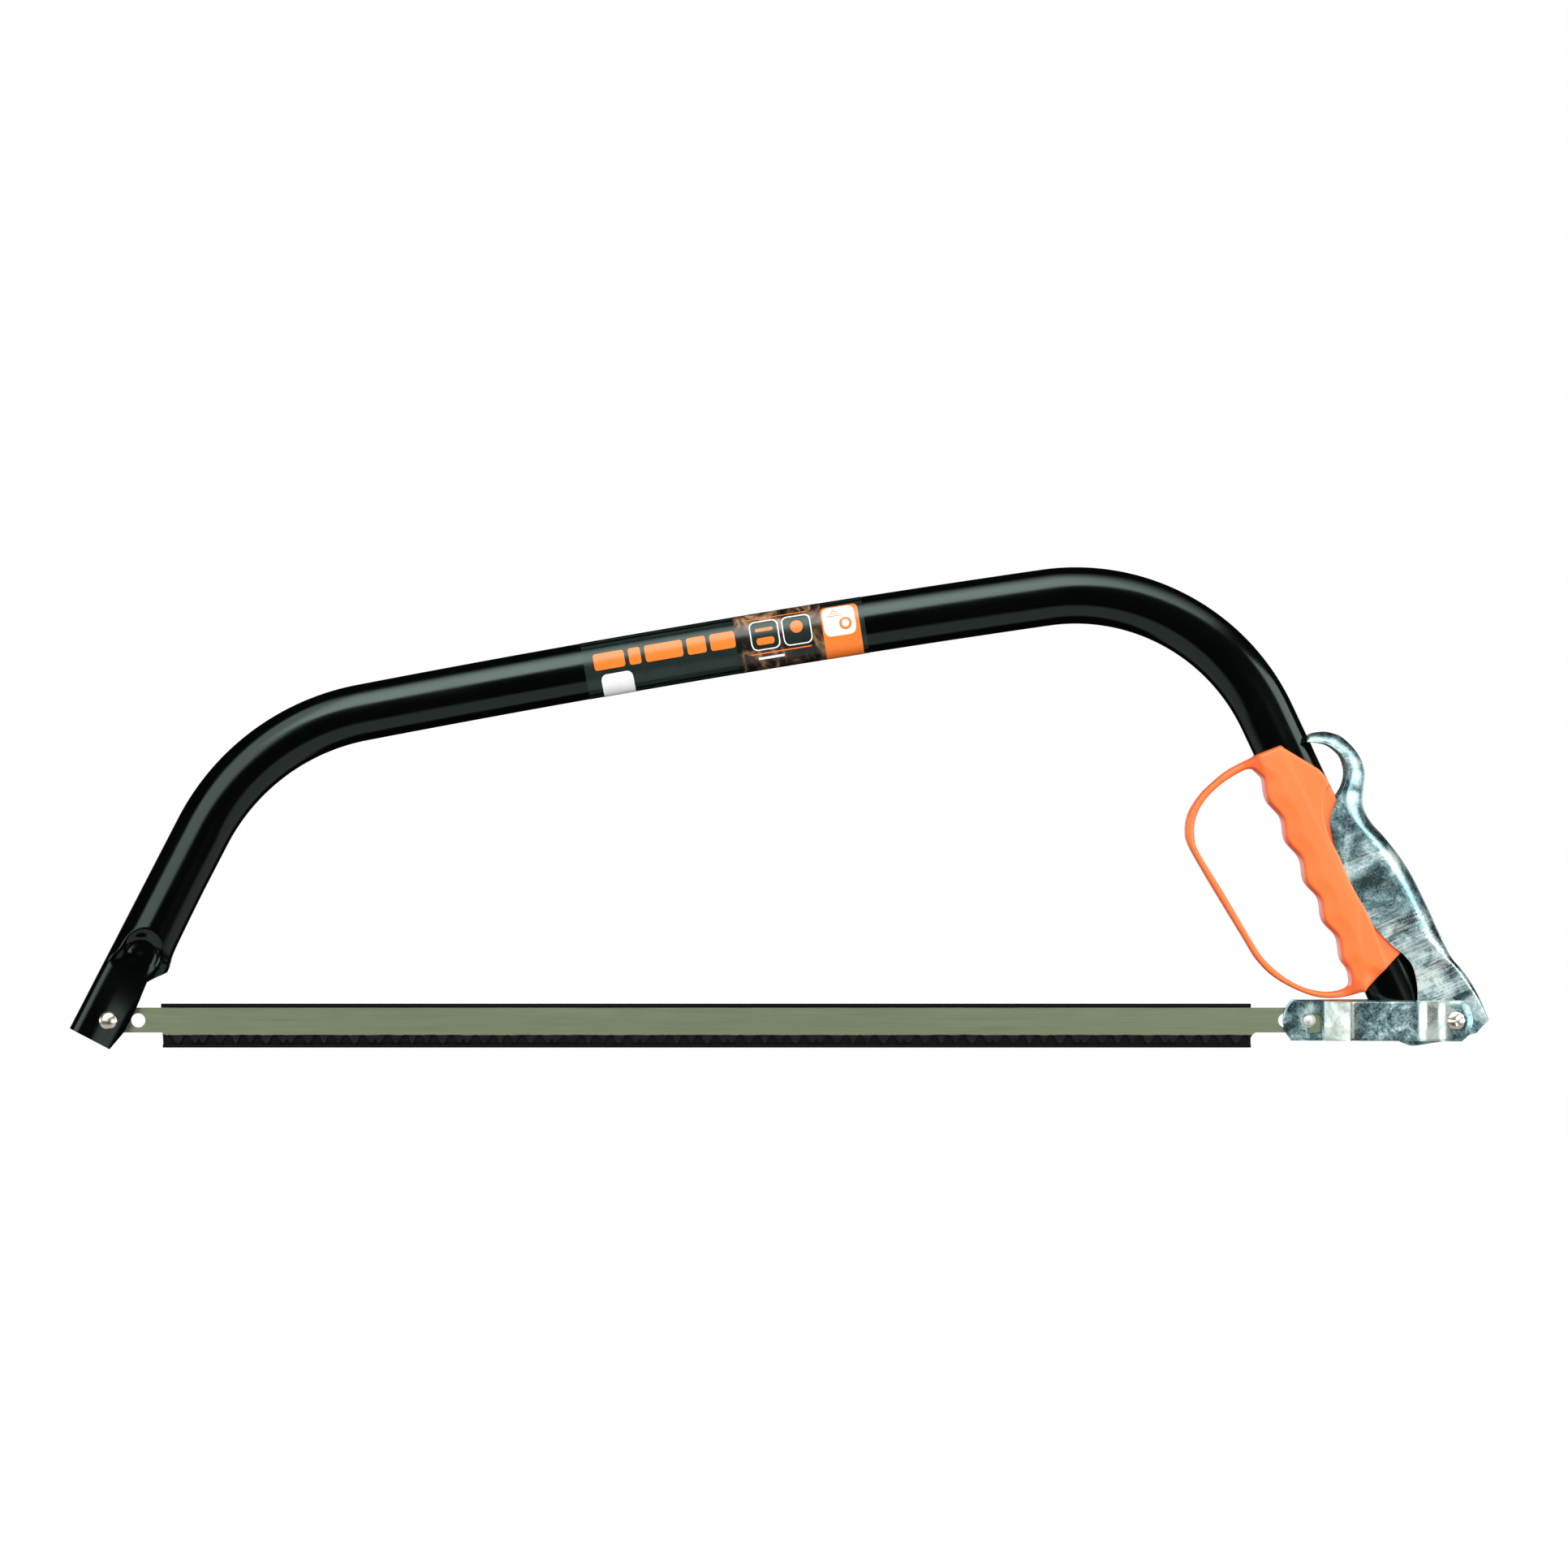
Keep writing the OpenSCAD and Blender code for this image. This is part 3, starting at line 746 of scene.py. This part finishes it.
def blade():
    """The blade: 0.8 mm steel with ground and alternately set teeth."""
    outline = [(-7, -4.5), (-6.4, -5.8), (-5, -6.13), (26.5, -6.13), (28, TOOTH_ROOT)]
    outline += tooth_line()
    outline += [(579, TOOTH_ROOT), (580.5, -6.13), (612, -6.13), (613.6, -5.5), (614.2, -4.2),
                (614.2, 4.5), (613.6, 5.9), (612, 6.46), (-5, 6.46), (-6.4, 5.9), (-7, 4.6)]
    holes = [circle((x, 0), PIN_HOLE, 36) for x in (0, 14.7, 595.5, REAR_PIN[0])]
    flat, faces = flat_mesh(outline, holes, 2.6)
    x, z = flat[:, 0], flat[:, 1]
    phase = ((x - RAKER_START) / RAKER_PITCH) % 1.0
    # Rakers stand straight, and the four teeth between them lean to the two sides in turn
    side = np.array([0, 1, -1, 1, -1, 0])[np.searchsorted(GULLETS, phase)]
    lean = 0.35 * side * smooth(-8.5, TOOTH_TIP, z)
    ground = np.where(z < -9, 0.28 * smooth(-9.0, TOOTH_TIP, z), 0)
    near = np.stack([x, lean - BLADE_HALF + np.where(side < 0, ground, 0), z], 1)
    far = np.stack([x, lean + BLADE_HALF - np.where(side > 0, ground, 0), z], 1)
    sheet_piece("saw_blade_toothed", near, far, faces, BLADE, "saw_blade")


def sheet_piece(name, near, far, faces, material, node, edge=0.0):
    """A closed sheet from its near and far faces, which share one triangulation."""
    count = len(near)
    sides = {}
    for face in faces:
        for a, b in zip(face, face[1:] + face[:1]):
            if (b, a) in sides:
                del sides[b, a]
            else:
                sides[a, b] = True
    walls = [(b, a, a + count, b + count) for a, b in sides]
    whole = list(faces) + [tuple(i + count for i in f[::-1]) for f in faces] + walls
    obj = mesh_object(name, np.vstack([near, far]), whole, [material])
    if edge:
        bevel(obj, edge)
    settle(obj, node)


def guard():
    """Channel clipped over the teeth and the back of the blade."""
    lip_low = [(-1.2, -12.35), (-1.2, -13.3), (-0.9, -13.65), (-0.4, -13.8)]
    back = [(2.1, -13.8), (2.6, -13.3), (2.6, 7.9), (2.1, 8.43)]
    lip_high = [(-0.4, 8.43), (-0.9, 8.28), (-1.2, 7.9), (-1.2, 6.95), (-0.9, 6.65), (0.7, 6.62)]
    inner = [(1.0, 6.3), (1.0, -11.9), (0.7, -12.22), (-0.9, -12.25)]
    profile = lip_low + back + lip_high + inner
    ends = (26.3, 578.1)
    xs = np.concatenate([ends[:1], np.arange(30, 576, 6.0), ends[1:]])
    points = []
    for x in xs:
        trim = 0.9 if x in ends else 0.0
        points += [(x + (trim if z < -10 and x < 100 else 0), y, z) for y, z in profile]
    count = len(profile)
    faces = grid_faces(len(xs), count, closed=True)
    faces += [tuple(range(count)), tuple(range((len(xs) - 1) * count, len(xs) * count))[::-1]]
    obj = mesh_object("teeth_guard", points, faces, [GUARD])
    settle(obj, "blade_guard", angle=35)


# -------------------- handle

LOOP_OUTER = curve([
    (592.4, 138.8), (580.1, 133.7), (566.9, 127.1), (558.5, 120.5), (551.9, 113.9), (546.1, 104.5),
    (544.7, 95.8), (545.7, 90.1), (549, 83.5), (560.1, 64.6), (574.4, 41.1), (580.1, 31.7),
    (587.7, 23.6), (597.1, 17.5), (608.4, 12.7), (617.7, 11.4), (626.3, 12.3), (634.9, 15.1)], 4)
LOOP_INNER = curve([
    (578.9, 127.3), (574.5, 126.7), (565.1, 121.3), (557.4, 114.7), (551.9, 107.3), (549.4, 99.5),
    (549.4, 92.1), (551.9, 84.5), (565.1, 62.9), (577.4, 41.9), (584, 31.7), (593.4, 23),
    (602.9, 17.5), (612.3, 14.8), (619.7, 14.6), (626.3, 16.5), (628.2, 19.3), (627.8, 23)], 4)
RECESS = curve([
    (618.5, 121), (615, 116.6), (614, 109), (614.5, 101.6), (616.9, 92.9), (621.6, 83.5),
    (628.2, 68.5), (635, 56.3), (639.5, 46.9), (643.4, 35.4), (646.1, 28.4), (648, 22)], 4)
FINGERS = (-49, -26.5, -3.6, 18.1, 39.2)


def finger_edge():
    """Front edge of the grip: bulges at FINGERS with shallow grooves between them."""
    knots = [(-60, -15.0)]
    for a, b in zip(FINGERS, FINGERS[1:] + (None,)):
        knots.append((a, -18.0))
        if b is not None:
            knots.append(((a + b) / 2, -15.2))
    knots += [(45.5, -17.1), (50.5, -17.7)]
    return np.array([leg_point(u, v) for u, v in curve(knots, 6)])


def grip_outline():
    """Outline of the grip without the loop."""
    back = [(659, 41), tuple(leg_point(-29, 15.65)), (620.6, 111.9), (617.9, 117.5), (614.6, 123.9),
            (611.7, 127.1), (592.4, 138.8), (580.5, 134.2)]
    return np.vstack([finger_edge(), [(634.9, 15.1)], back])


def rounded_slab(d, y, half, radius):
    """Signed distance of an extruded outline with its edges rounded by that radius."""
    a, b = d + radius, np.abs(y) - half + radius
    return np.hypot(np.maximum(a, 0), np.maximum(b, 0)) + np.minimum(np.maximum(a, b), 0) - radius


def handle():
    """Moulded grip and knuckle guard as one body, hollowed for the tube."""
    step = 0.6
    xs, ys, zs = (np.arange(a, b, step) for a, b in ((541, 663), (-14.7, 14.8), (8, 142)))
    x2, z2 = np.meshgrid(xs, zs, indexing="ij")
    grip_d = signed_distance(x2, z2, grip_outline())[:, None, :]
    loop_outer = np.vstack([LOOP_OUTER, leg_point(20, 0), leg_point(-45, 0)])
    loop_inner = np.vstack([LOOP_INNER, finger_edge()[::-1]])
    loop_d = np.maximum(signed_distance(x2, z2, loop_outer), -signed_distance(x2, z2, loop_inner))
    loop_d = loop_d[:, None, :]
    u, v = leg_frame(x2, z2)
    soft_side = (1 - smooth(-9, 0, v)) * smooth(-68, -54, u) * (1 - smooth(50, 62, u))
    radius = (1.0 + 8.5 * soft_side)[:, None, :]
    y = ys[None, :, None]
    grip = rounded_slab(grip_d, y, GRIP_HALF, radius)
    flare = 6.0 + 6.6 * (1 - smooth(-2, 9, grip_d))
    loop = rounded_slab(loop_d, y, flare, 1.7)
    body = soft_min(grip, loop, 2.0)
    bore = (np.hypot(v[:, None, :] / TUBE_WIDE, y / TUBE_THIN) - 1) * 10
    # Both flanks are recessed where the lever's cheeks lie
    flank_half = 10.9
    recess_d = signed_distance(x2, z2, np.vstack([RECESS, [(705, 22), (705, 121)]]))[:, None, :]
    recess = np.maximum(recess_d, flank_half - np.abs(y))
    field = np.maximum(np.maximum(body, -bore), -recess)
    points, faces = surface_net(field, (xs[0], ys[0], zs[0]), step)
    obj = mesh_object("grip_and_guard", points, faces, [ORANGE])
    relax = obj.modifiers.new("relax", "SMOOTH")
    relax.factor = 0.5
    relax.iterations = 3
    settle(obj, "handle", angle=60)


# -------------------- lever

LEVER_BACK = [
    (605.9, 141.6), (607.4, 144.9), (614, 146.2), (619.2, 145.3), (623.7, 143.4), (629.6, 137.8),
    (633.7, 131.6), (635.4, 125.4), (635, 118.2), (634.6, 110.6), (636, 104.9), (639.3, 99.5),
    (644.4, 94), (649.8, 87.4), (654.9, 80.4), (659.8, 72.4), (665.8, 60.5), (671.6, 48.1),
    (676.2, 37.4), (679.4, 31.4), (685.1, 24.7), (691.7, 14.4), (697.5, 0.6)]
LEVER_FRONT = [
    (605.6, 140.9), (608.2, 140.9), (612, 140.6), (616, 139.7), (619.3, 137.9), (623.4, 134.1),
    (625.5, 129), (625.9, 123.8), (624.3, 118.2), (620.2, 111.2), (617.8, 104.6), (617.1, 99.5),
    (618.2, 93.4), (619.9, 87), (622.1, 80), (625.4, 72.4), (631.2, 61.2), (638.2, 49.4),
    (647.6, 39), (654, 33.8), (658.8, 28), (661.1, 19), (661.5, 10.8)]
LEVER_TAIL = [(694.2, -2.5), (691.3, -5.8), (687.2, -7.2), (675.3, -9.9), (664.5, -11.7)]


def lever_width(x, z):
    """Half width of the channel: wide round the grip, narrower at the tail and the hook's tip."""
    shoulder = z - (38.2 - 0.03 * (x - 666) ** 2)
    hook = smooth(122, 146, z) * smooth(640, 606, x)
    return TAIL_HALF + 1.8 * smooth(-2.6, 2.6, shoulder) - 3.2 * hook


def lever():
    """Stamped channel: flat cheeks, rounded back and curled finger hook."""
    back, front = curve(LEVER_BACK, 6), curve(LEVER_FRONT, 6)
    along = np.linspace(0, 1, len(back))
    depth = np.hypot(*(back - front).T)
    below = smooth(0.77, 0.88, along)
    roll = np.minimum(9.4 - 5.6 * below - 2.8 * smooth(0.93, 1.0, along), depth * 0.8)
    cheek_rows, roll_rows = 12, 18
    near = []
    for b, f, r, d in zip(back, front, roll, depth):
        w = lever_width(*((b + f) / 2)) if d > 12 else lever_width(*b)
        inward = (f - b) / d
        row = []
        for k in range(cheek_rows):
            p = f + (b + inward * r - f) * k / (cheek_rows - 1)
            row.append((p[0], -lever_width(*p), p[1]))
        for k in range(1, roll_rows + 1):
            a = math.pi / 2 * k / roll_rows
            p = b + inward * r * (1 - math.sin(a) ** 1.25)
            drop = min(r, w - 1.0) * (1 - math.cos(a) ** 1.25)
            row.append((p[0], drop - lever_width(*p), p[1]))
        row.append((b[0], 0.0, b[1]))
        near.append(row)
    points = [p for row in near for p in row]
    faces = grid_faces(len(near), len(near[0]))
    # The tail below the back's end is the two cheeks alone, welded to the last row above
    lobe = circle(LEVER_PIVOT, 10.3, 14, -80, -190)
    joint = [(p[0], p[2]) for p in near[-1][:cheek_rows]]
    tail, tail_faces = flat_mesh(np.vstack([joint, back[-1:], LEVER_TAIL, lobe]), [], 2.0)
    start = len(points)
    points += [(x, -TAIL_HALF, z) for x, z in tail]
    faces += [tuple(start + i for i in f) for f in tail_faces]
    far = [(x, -y, z) for x, y, z in points]
    shift = len(points)
    faces += [tuple(i + shift for i in f[::-1]) for f in faces]
    obj = mesh_object("tension_lever_stamped", points + far, faces, [ZINC_LEVER])
    thicken(obj, SHEET)
    settle(obj, "tension_lever", angle=42)


# -------------------- link plates

def joggle(x):
    """Distance of a plate's inner face from the middle plane, along its length."""
    table = np.array([(590, 0.7), (615.6, 0.7), (628.6, 13.0), (661.6, 13.0), (665.4, 12.2),
                      (671.9, 11.95), (675.1, 11.3), (692, 11.3)])
    spread = np.linspace(-0.6, 0.6, 9)
    return np.mean([np.interp(x + d, table[:, 0], table[:, 1]) for d in spread], 0)


def window():
    """L-shaped window of the near plate: a seat for the pin and a slot down for letting it out."""
    x = REAR_PIN[0]
    seat = circle((x - 0.1, 0), 3.7, 9, 135, 112)
    slot = [(x - 1.2, -3.6), (x - 0.9, -5.4), (x - 0.9, -8.4), (x - 0.5, -8.9), (x + 6.2, -8.9),
            (x + 6.7, -8.4), (x + 6.7, 1.6), (x + 6.0, 2.9), (x + 4.5, 3.6), (x + 1.2, 3.8),
            (x - 0.2, 3.75)]
    return np.vstack([seat, slot])


def far_window():
    """Round-ended slot of the far plate, narrower than the CAD's: only the thinned shank fits."""
    x = REAR_PIN[0]
    seat = circle((x - 0.1, 0), 2.9, 12, 90, 150)
    slot = circle((x + 3.5, -4.0), 2.3, 12, 190, 170)
    corner = circle((x + 3.05, 0), 2.9, 8, 0, 90)
    return np.vstack([seat, slot, corner])


def link_plate(side, name, node):
    """One joggled plate; side is -1 for the near one."""
    x0, x1, top, bottom = 594.3, 689.2, 10.45, -10.15
    left = [(x0 + 4.2, top), (x0 + 0.9, 5.4), (x0, 0.15), (x0 + 0.9, -5.1), (x0 + 4.2, bottom)]
    right = [(x1 - 5.6, bottom), (x1 - 1.6, -6.2), (x1, 0.15), (x1 - 1.6, 6.5), (x1 - 5.6, top)]
    outline = np.vstack([curve(left, 6), curve(right, 6)])
    opening = window() if side < 0 else far_window()
    flat, faces = flat_mesh(outline, [opening, circle(LINK_PIVOT, 2.8, 24)], 0.7)
    x, z = flat[:, 0], flat[:, 1]
    inner = joggle(x)
    fine = 0.25
    table = np.arange(590, 693, fine)
    slope = np.interp(x, table, np.gradient(joggle(table), fine))
    lean = SHEET / np.sqrt(1 + slope**2)
    rim = 0.9 + 1.7 * smooth(678, 684, x)
    worn = 0.28 * np.maximum(0, rim + signed_distance(x, z, outline))
    first = np.stack([x, side * inner, z], 1)
    second = np.stack([x - lean * slope, side * (inner + lean - worn), z], 1)
    sheet_piece(name, second, first, faces, ZINC_LINK, node, edge=0.4)


# -------------------- label

def bow_station(x):
    """Point and heading of the bow's centreline at that X, on the nearly straight bar."""
    heading = float(np.interp(x, (127.8, 474.2), (10.9, 8.2)))
    first = math.radians(10.9)
    centre = np.array([127.78, 155.81]) + BAR_RADIUS * np.array([math.sin(first), -math.cos(first)])
    a = math.radians(heading)
    return centre + BAR_RADIUS * np.array([-math.sin(a), math.cos(a)]), heading


def film_patch(x0, x1, lift, polar):
    """A patch of film on the tube: polar gives its lower and upper edge (degrees) at a share t."""
    across = 24
    stations = np.linspace(x0, x1, max(3, int((x1 - x0) / min(1.5, (x1 - x0) / 36))))
    points = []
    for i, x in enumerate(stations):
        low, high = polar(i / (len(stations) - 1))
        centre, heading = bow_station(x)
        t = direction(heading)
        for a in np.radians(np.linspace(low, high, across)):
            out = (TUBE_WIDE + lift) * math.sin(a)
            point = centre + out * np.array([-t[1], t[0]])
            points.append((point[0], -(TUBE_THIN + lift) * math.cos(a), point[1]))
    return points, grid_faces(len(stations), across)


def rounded(low, high, length, corner, foot=1.0):
    """Edges of a patch whose corners are rounded: lower and upper angle at a share of its length."""
    degrees_per_mm = 4.2

    def edges(t):
        end = min(t, 1 - t) * length
        inset = corner - math.sqrt(max(0.0, corner**2 - (corner - min(end, corner)) ** 2))
        return low + inset * degrees_per_mm * foot, high - inset * degrees_per_mm
    return edges


def label():
    """Film sleeve round the bow with plain printed shapes."""
    film_dark = film("film_dark", (0.01, 0.018, 0.016), 0.24)
    orange_ink = film("ink_orange", (0.8, 0.18, 0.025), 0.2, 0.05)
    white_ink = film("ink_white", (0.78, 0.78, 0.76), 0.22, 0.04)
    materials = [film_dark, orange_ink, white_ink, wood_print()]
    dark, orange, white, wood = range(len(materials))
    points, faces, painted = [], [], []

    def add(patch, index):
        start = len(points)
        points.extend(patch[0])
        faces.extend(tuple(start + i for i in f) for f in patch[1])
        painted.extend([index] * len(patch[1]))

    add(film_patch(241.4, 382.9, 0.1, lambda t: (-179.9, 179.9)), dark)
    x = 246.5
    for length in (15.5, 6.0, 19.0, 9.5, 12.5):
        add(film_patch(x, x + length, 0.16, rounded(-4, 31, length, 1.2)), orange)
        x += length + 2.2
    add(film_patch(248.8, 264.8, 0.17, rounded(-86, -14, 16.0, 3.0, foot=0.0)), white)
    add(film_patch(318.0, 362.0, 0.13, lambda t: (-88, 88)), wood)
    for low, high in ((50, 52.4), (-27, -24.6)):
        add(film_patch(324.6, 355.0, 0.18, lambda t, a=low, b=high: (a, b)), orange)
    add(film_patch(328.0, 341.0, 0.18, lambda t: (-40, -34)), white)
    for x0 in (325.4, 341.7):
        add(film_patch(x0, x0 + 14.6, 0.18, rounded(-19, 44, 14.6, 3.2)), white)
        add(film_patch(x0 + 0.6, x0 + 14, 0.2, rounded(-16.6, 41.0, 13.4, 2.7)), dark)
    add(film_patch(328.2, 337.2, 0.22, rounded(19, 26, 9.0, 0.8)), orange)
    add(film_patch(328.2, 337.2, 0.22, rounded(-8, 6, 9.0, 1.4)), orange)
    add(film_patch(345.8, 352.2, 0.22, rounded(5, 31, 6.4, 3.15)), orange)
    add(film_patch(361.6, 380.4, 0.16, rounded(-88, 52, 18.8, 2.6, foot=0.0)), orange)
    add(film_patch(362.4, 378.4, 0.18, rounded(-14, 49, 16.0, 3.4)), white)
    add(film_patch(370.2, 376.6, 0.2, rounded(-4, 22, 6.4, 3.15)), orange)
    add(film_patch(371.6, 375.2, 0.22, rounded(1.8, 16.4, 3.6, 1.75)), white)
    for k in range(4):
        low = 26 + 5.2 * k
        high = 28.4 + 5.2 * k
        add(film_patch(364.4 + k, 372.0 - k, 0.2, rounded(low, high, 7.6, 0.3)), orange)
    obj = mesh_object("label_sleeve", points, faces, materials, painted)
    thicken(obj, 0.05)
    settle(obj, "label_film", angle=40)


# -------------------- studio

def studio_world():
    """Soft boxes by direction (degrees from the camera), white to the camera itself.

    A large one above, one at the upper left, one below, strips right, left and behind."""
    world = bpy.data.worlds.new("studio")
    world.use_nodes = True
    bpy.context.scene.world = world
    tree = world.node_tree
    background = tree.nodes["Background"]
    coords = tree.nodes.new("ShaderNodeTexCoord")
    split = tree.nodes.new("ShaderNodeSeparateXYZ")
    tree.links.new(coords.outputs["Generated"], split.inputs[0])
    x, y, z = split.outputs

    def maths(operation, *operands):
        return math_node(tree, operation, *operands)

    def fade(value, low, high, start=0.0, end=1.0):
        node = tree.nodes.new("ShaderNodeMapRange")
        node.interpolation_type = "SMOOTHSTEP"
        for key, item in (("Value", value), ("From Min", low), ("From Max", high),
                          ("To Min", start), ("To Max", end)):
            plug(tree, node.inputs[key], item)
        return node.outputs[0]

    def product(*values):
        result = values[0]
        for value in values[1:]:
            result = maths("MULTIPLY", result, value)
        return result

    elevation = maths("MULTIPLY", maths("ARCSINE", z), 180 / math.pi)
    azimuth = maths("MULTIPLY", maths("ARCTAN2", x, maths("MULTIPLY", y, -1.0)), 180 / math.pi)
    turn = maths("ADD", maths("DIVIDE", azimuth, 200.0), 0.5)

    def by_azimuth(*stops):
        return ramp_node(tree, turn, [(degrees / 200 + 0.5, value) for degrees, value in stops])

    strength = by_azimuth((-30, 0.0), (-18, 0.8), (-8, 1.0), (2, 0.85), (22, 0.58), (42, 0.37),
                          (62, 0.18), (92, 0.0))
    edge = by_azimuth((-30, 0.2), (-8, 0.2), (2, 0.29), (12, 0.35), (32, 0.36), (42, 0.42),
                      (60, 0.5), (90, 0.55))
    edge = maths("MULTIPLY", edge, 90.0)
    above_edge = fade(elevation, maths("SUBTRACT", edge, 3.0), maths("ADD", edge, 4.0))
    upper = product(strength, 5.6, above_edge, fade(elevation, 40.0, 78.0, 1.0, 0.0))
    side = product(2.3, fade(azimuth, -48.0, -40.0), fade(azimuth, -16.0, -10.0, 1.0, 0.0),
                   fade(elevation, -2.0, 2.5), fade(elevation, 44.0, 62.0, 1.0, 0.0))
    upper = maths("MAXIMUM", upper, side)
    aside = maths("ABSOLUTE", azimuth)
    brim = fade(aside, 0.0, 50.0, -25.5, -21.0)
    below_brim = fade(elevation, maths("SUBTRACT", brim, 3.0), maths("ADD", brim, 1.0), 1.0, 0.0)
    lower = product(0.6, below_brim, fade(elevation, -70.0, -62.0),
                    fade(aside, 95.0, 110.0, 1.0, 0.0))
    level = fade(maths("ABSOLUTE", elevation), 9.0, 15.0, 1.0, 0.0)
    slit = fade(maths("ABSOLUTE", maths("ADD", elevation, 2.3)), 3.0, 5.0, 1.0, 0.0)
    right = product(8.0, slit, fade(azimuth, 14.0, 24.0), fade(azimuth, 92.0, 104.0, 1.0, 0.0))
    left = product(2.2, level, fade(azimuth, -66.0, -58.0, 1.0, 0.0), fade(azimuth, -108.0, -96.0))
    rear = product(1.7, level, fade(y, 0.45, 0.7))
    ambient = 0.014
    total = maths("ADD", ambient, upper)
    for box in (lower, right, left, rear):
        total = maths("ADD", total, box)
    path = tree.nodes.new("ShaderNodeLightPath")
    choose = tree.nodes.new("ShaderNodeMix")
    tree.links.new(path.outputs["Is Camera Ray"], choose.inputs[0])
    tree.links.new(total, choose.inputs[2])
    choose.inputs[3].default_value = 1.0
    tree.links.new(choose.outputs[0], background.inputs["Strength"])
    background.inputs["Color"].default_value = (1, 1, 1, 1)


def studio_floor():
    """A plain white floor well below the saw."""
    size, drop = 6.0, 0.42
    corners = [(-size, -size), (size, -size), (size, size), (-size, size)]
    mesh = bpy.data.meshes.new("floor")
    mesh.from_pydata([(x, y, PIN[1] - drop) for x, y in corners], [], [(0, 1, 2, 3)])
    floor = bpy.data.objects.new("floor", mesh)
    bpy.context.scene.collection.objects.link(floor)
    s = Surface("floor_white", (0.8, 0.8, 0.8), roughness=0.9, Specular_IOR_Level=0.0)
    s.shader.inputs["Emission Color"].default_value = (1, 1, 1, 1)
    s.shader.inputs["Emission Strength"].default_value = 0.9
    mesh.materials.append(s.material)
    floor.visible_glossy = False
    floor.visible_diffuse = False


def soft_light(name, place, target, size, power, seen=False):
    """A square light aimed at its target, seen in reflections only if told so."""
    data = bpy.data.lights.new(name, "AREA")
    data.shape = "RECTANGLE"
    data.size = size
    data.size_y = size
    data.energy = power
    light = bpy.data.objects.new(name, data)
    bpy.context.scene.collection.objects.link(light)
    light.location = place
    light.rotation_mode = "QUATERNION"
    light.rotation_quaternion = (Vector(target) - Vector(place)).to_track_quat("-Z", "Y")
    light.visible_glossy = seen
    light.visible_camera = False


def studio_camera():
    """Level view of the near side from 3 m."""
    data = bpy.data.cameras.new("camera")
    data.lens = 136.0
    camera = bpy.data.objects.new("camera", data)
    bpy.context.scene.collection.objects.link(camera)
    camera.location = placed([(341.7, -3000.0, 119.7)])[0]
    camera.rotation_euler = (math.pi / 2, 0, 0)
    bpy.context.scene.camera = camera


# -------------------- build

bow_tube()
front_pin()
rear_pin()
link_rivet()
blade()
guard()
handle()
lever()
link_plate(-1, "link_near_stamped", "link_plate_near")
link_plate(1, "link_far_stamped", "link_plate_far")
label()

for kept_node, kept_material in (
    ("front_pin_clip", DARK_ZINC), ("lever_pivot_rivet", PIN_METAL),
    ("lever_pivot_sleeve", DARK_ZINC), ("link_rivet_sleeve", DARK_ZINC),
):
    frame["nodes"][kept_node].data.materials.clear()
    frame["nodes"][kept_node].data.materials.append(kept_material)

studio_world()
studio_floor()
middle = (cad_box[0] + cad_box[1]) / 2
soft_light("fill_front", middle + Vector((0.8, -1.9, 0.9)), middle, 1.4, 36)
soft_light("fill_rear", middle + Vector((0.5, 2.0, 0.9)), middle, 1.6, 20)
shoulder = Vector(placed([(660, -10, 70)])[0])
soft_light("strip_right", shoulder + Vector((0.463, -0.267, 0.272)), shoulder, 0.36, 1.4, seen=True)
studio_camera()
bpy.context.scene.view_settings.view_transform = "Standard"
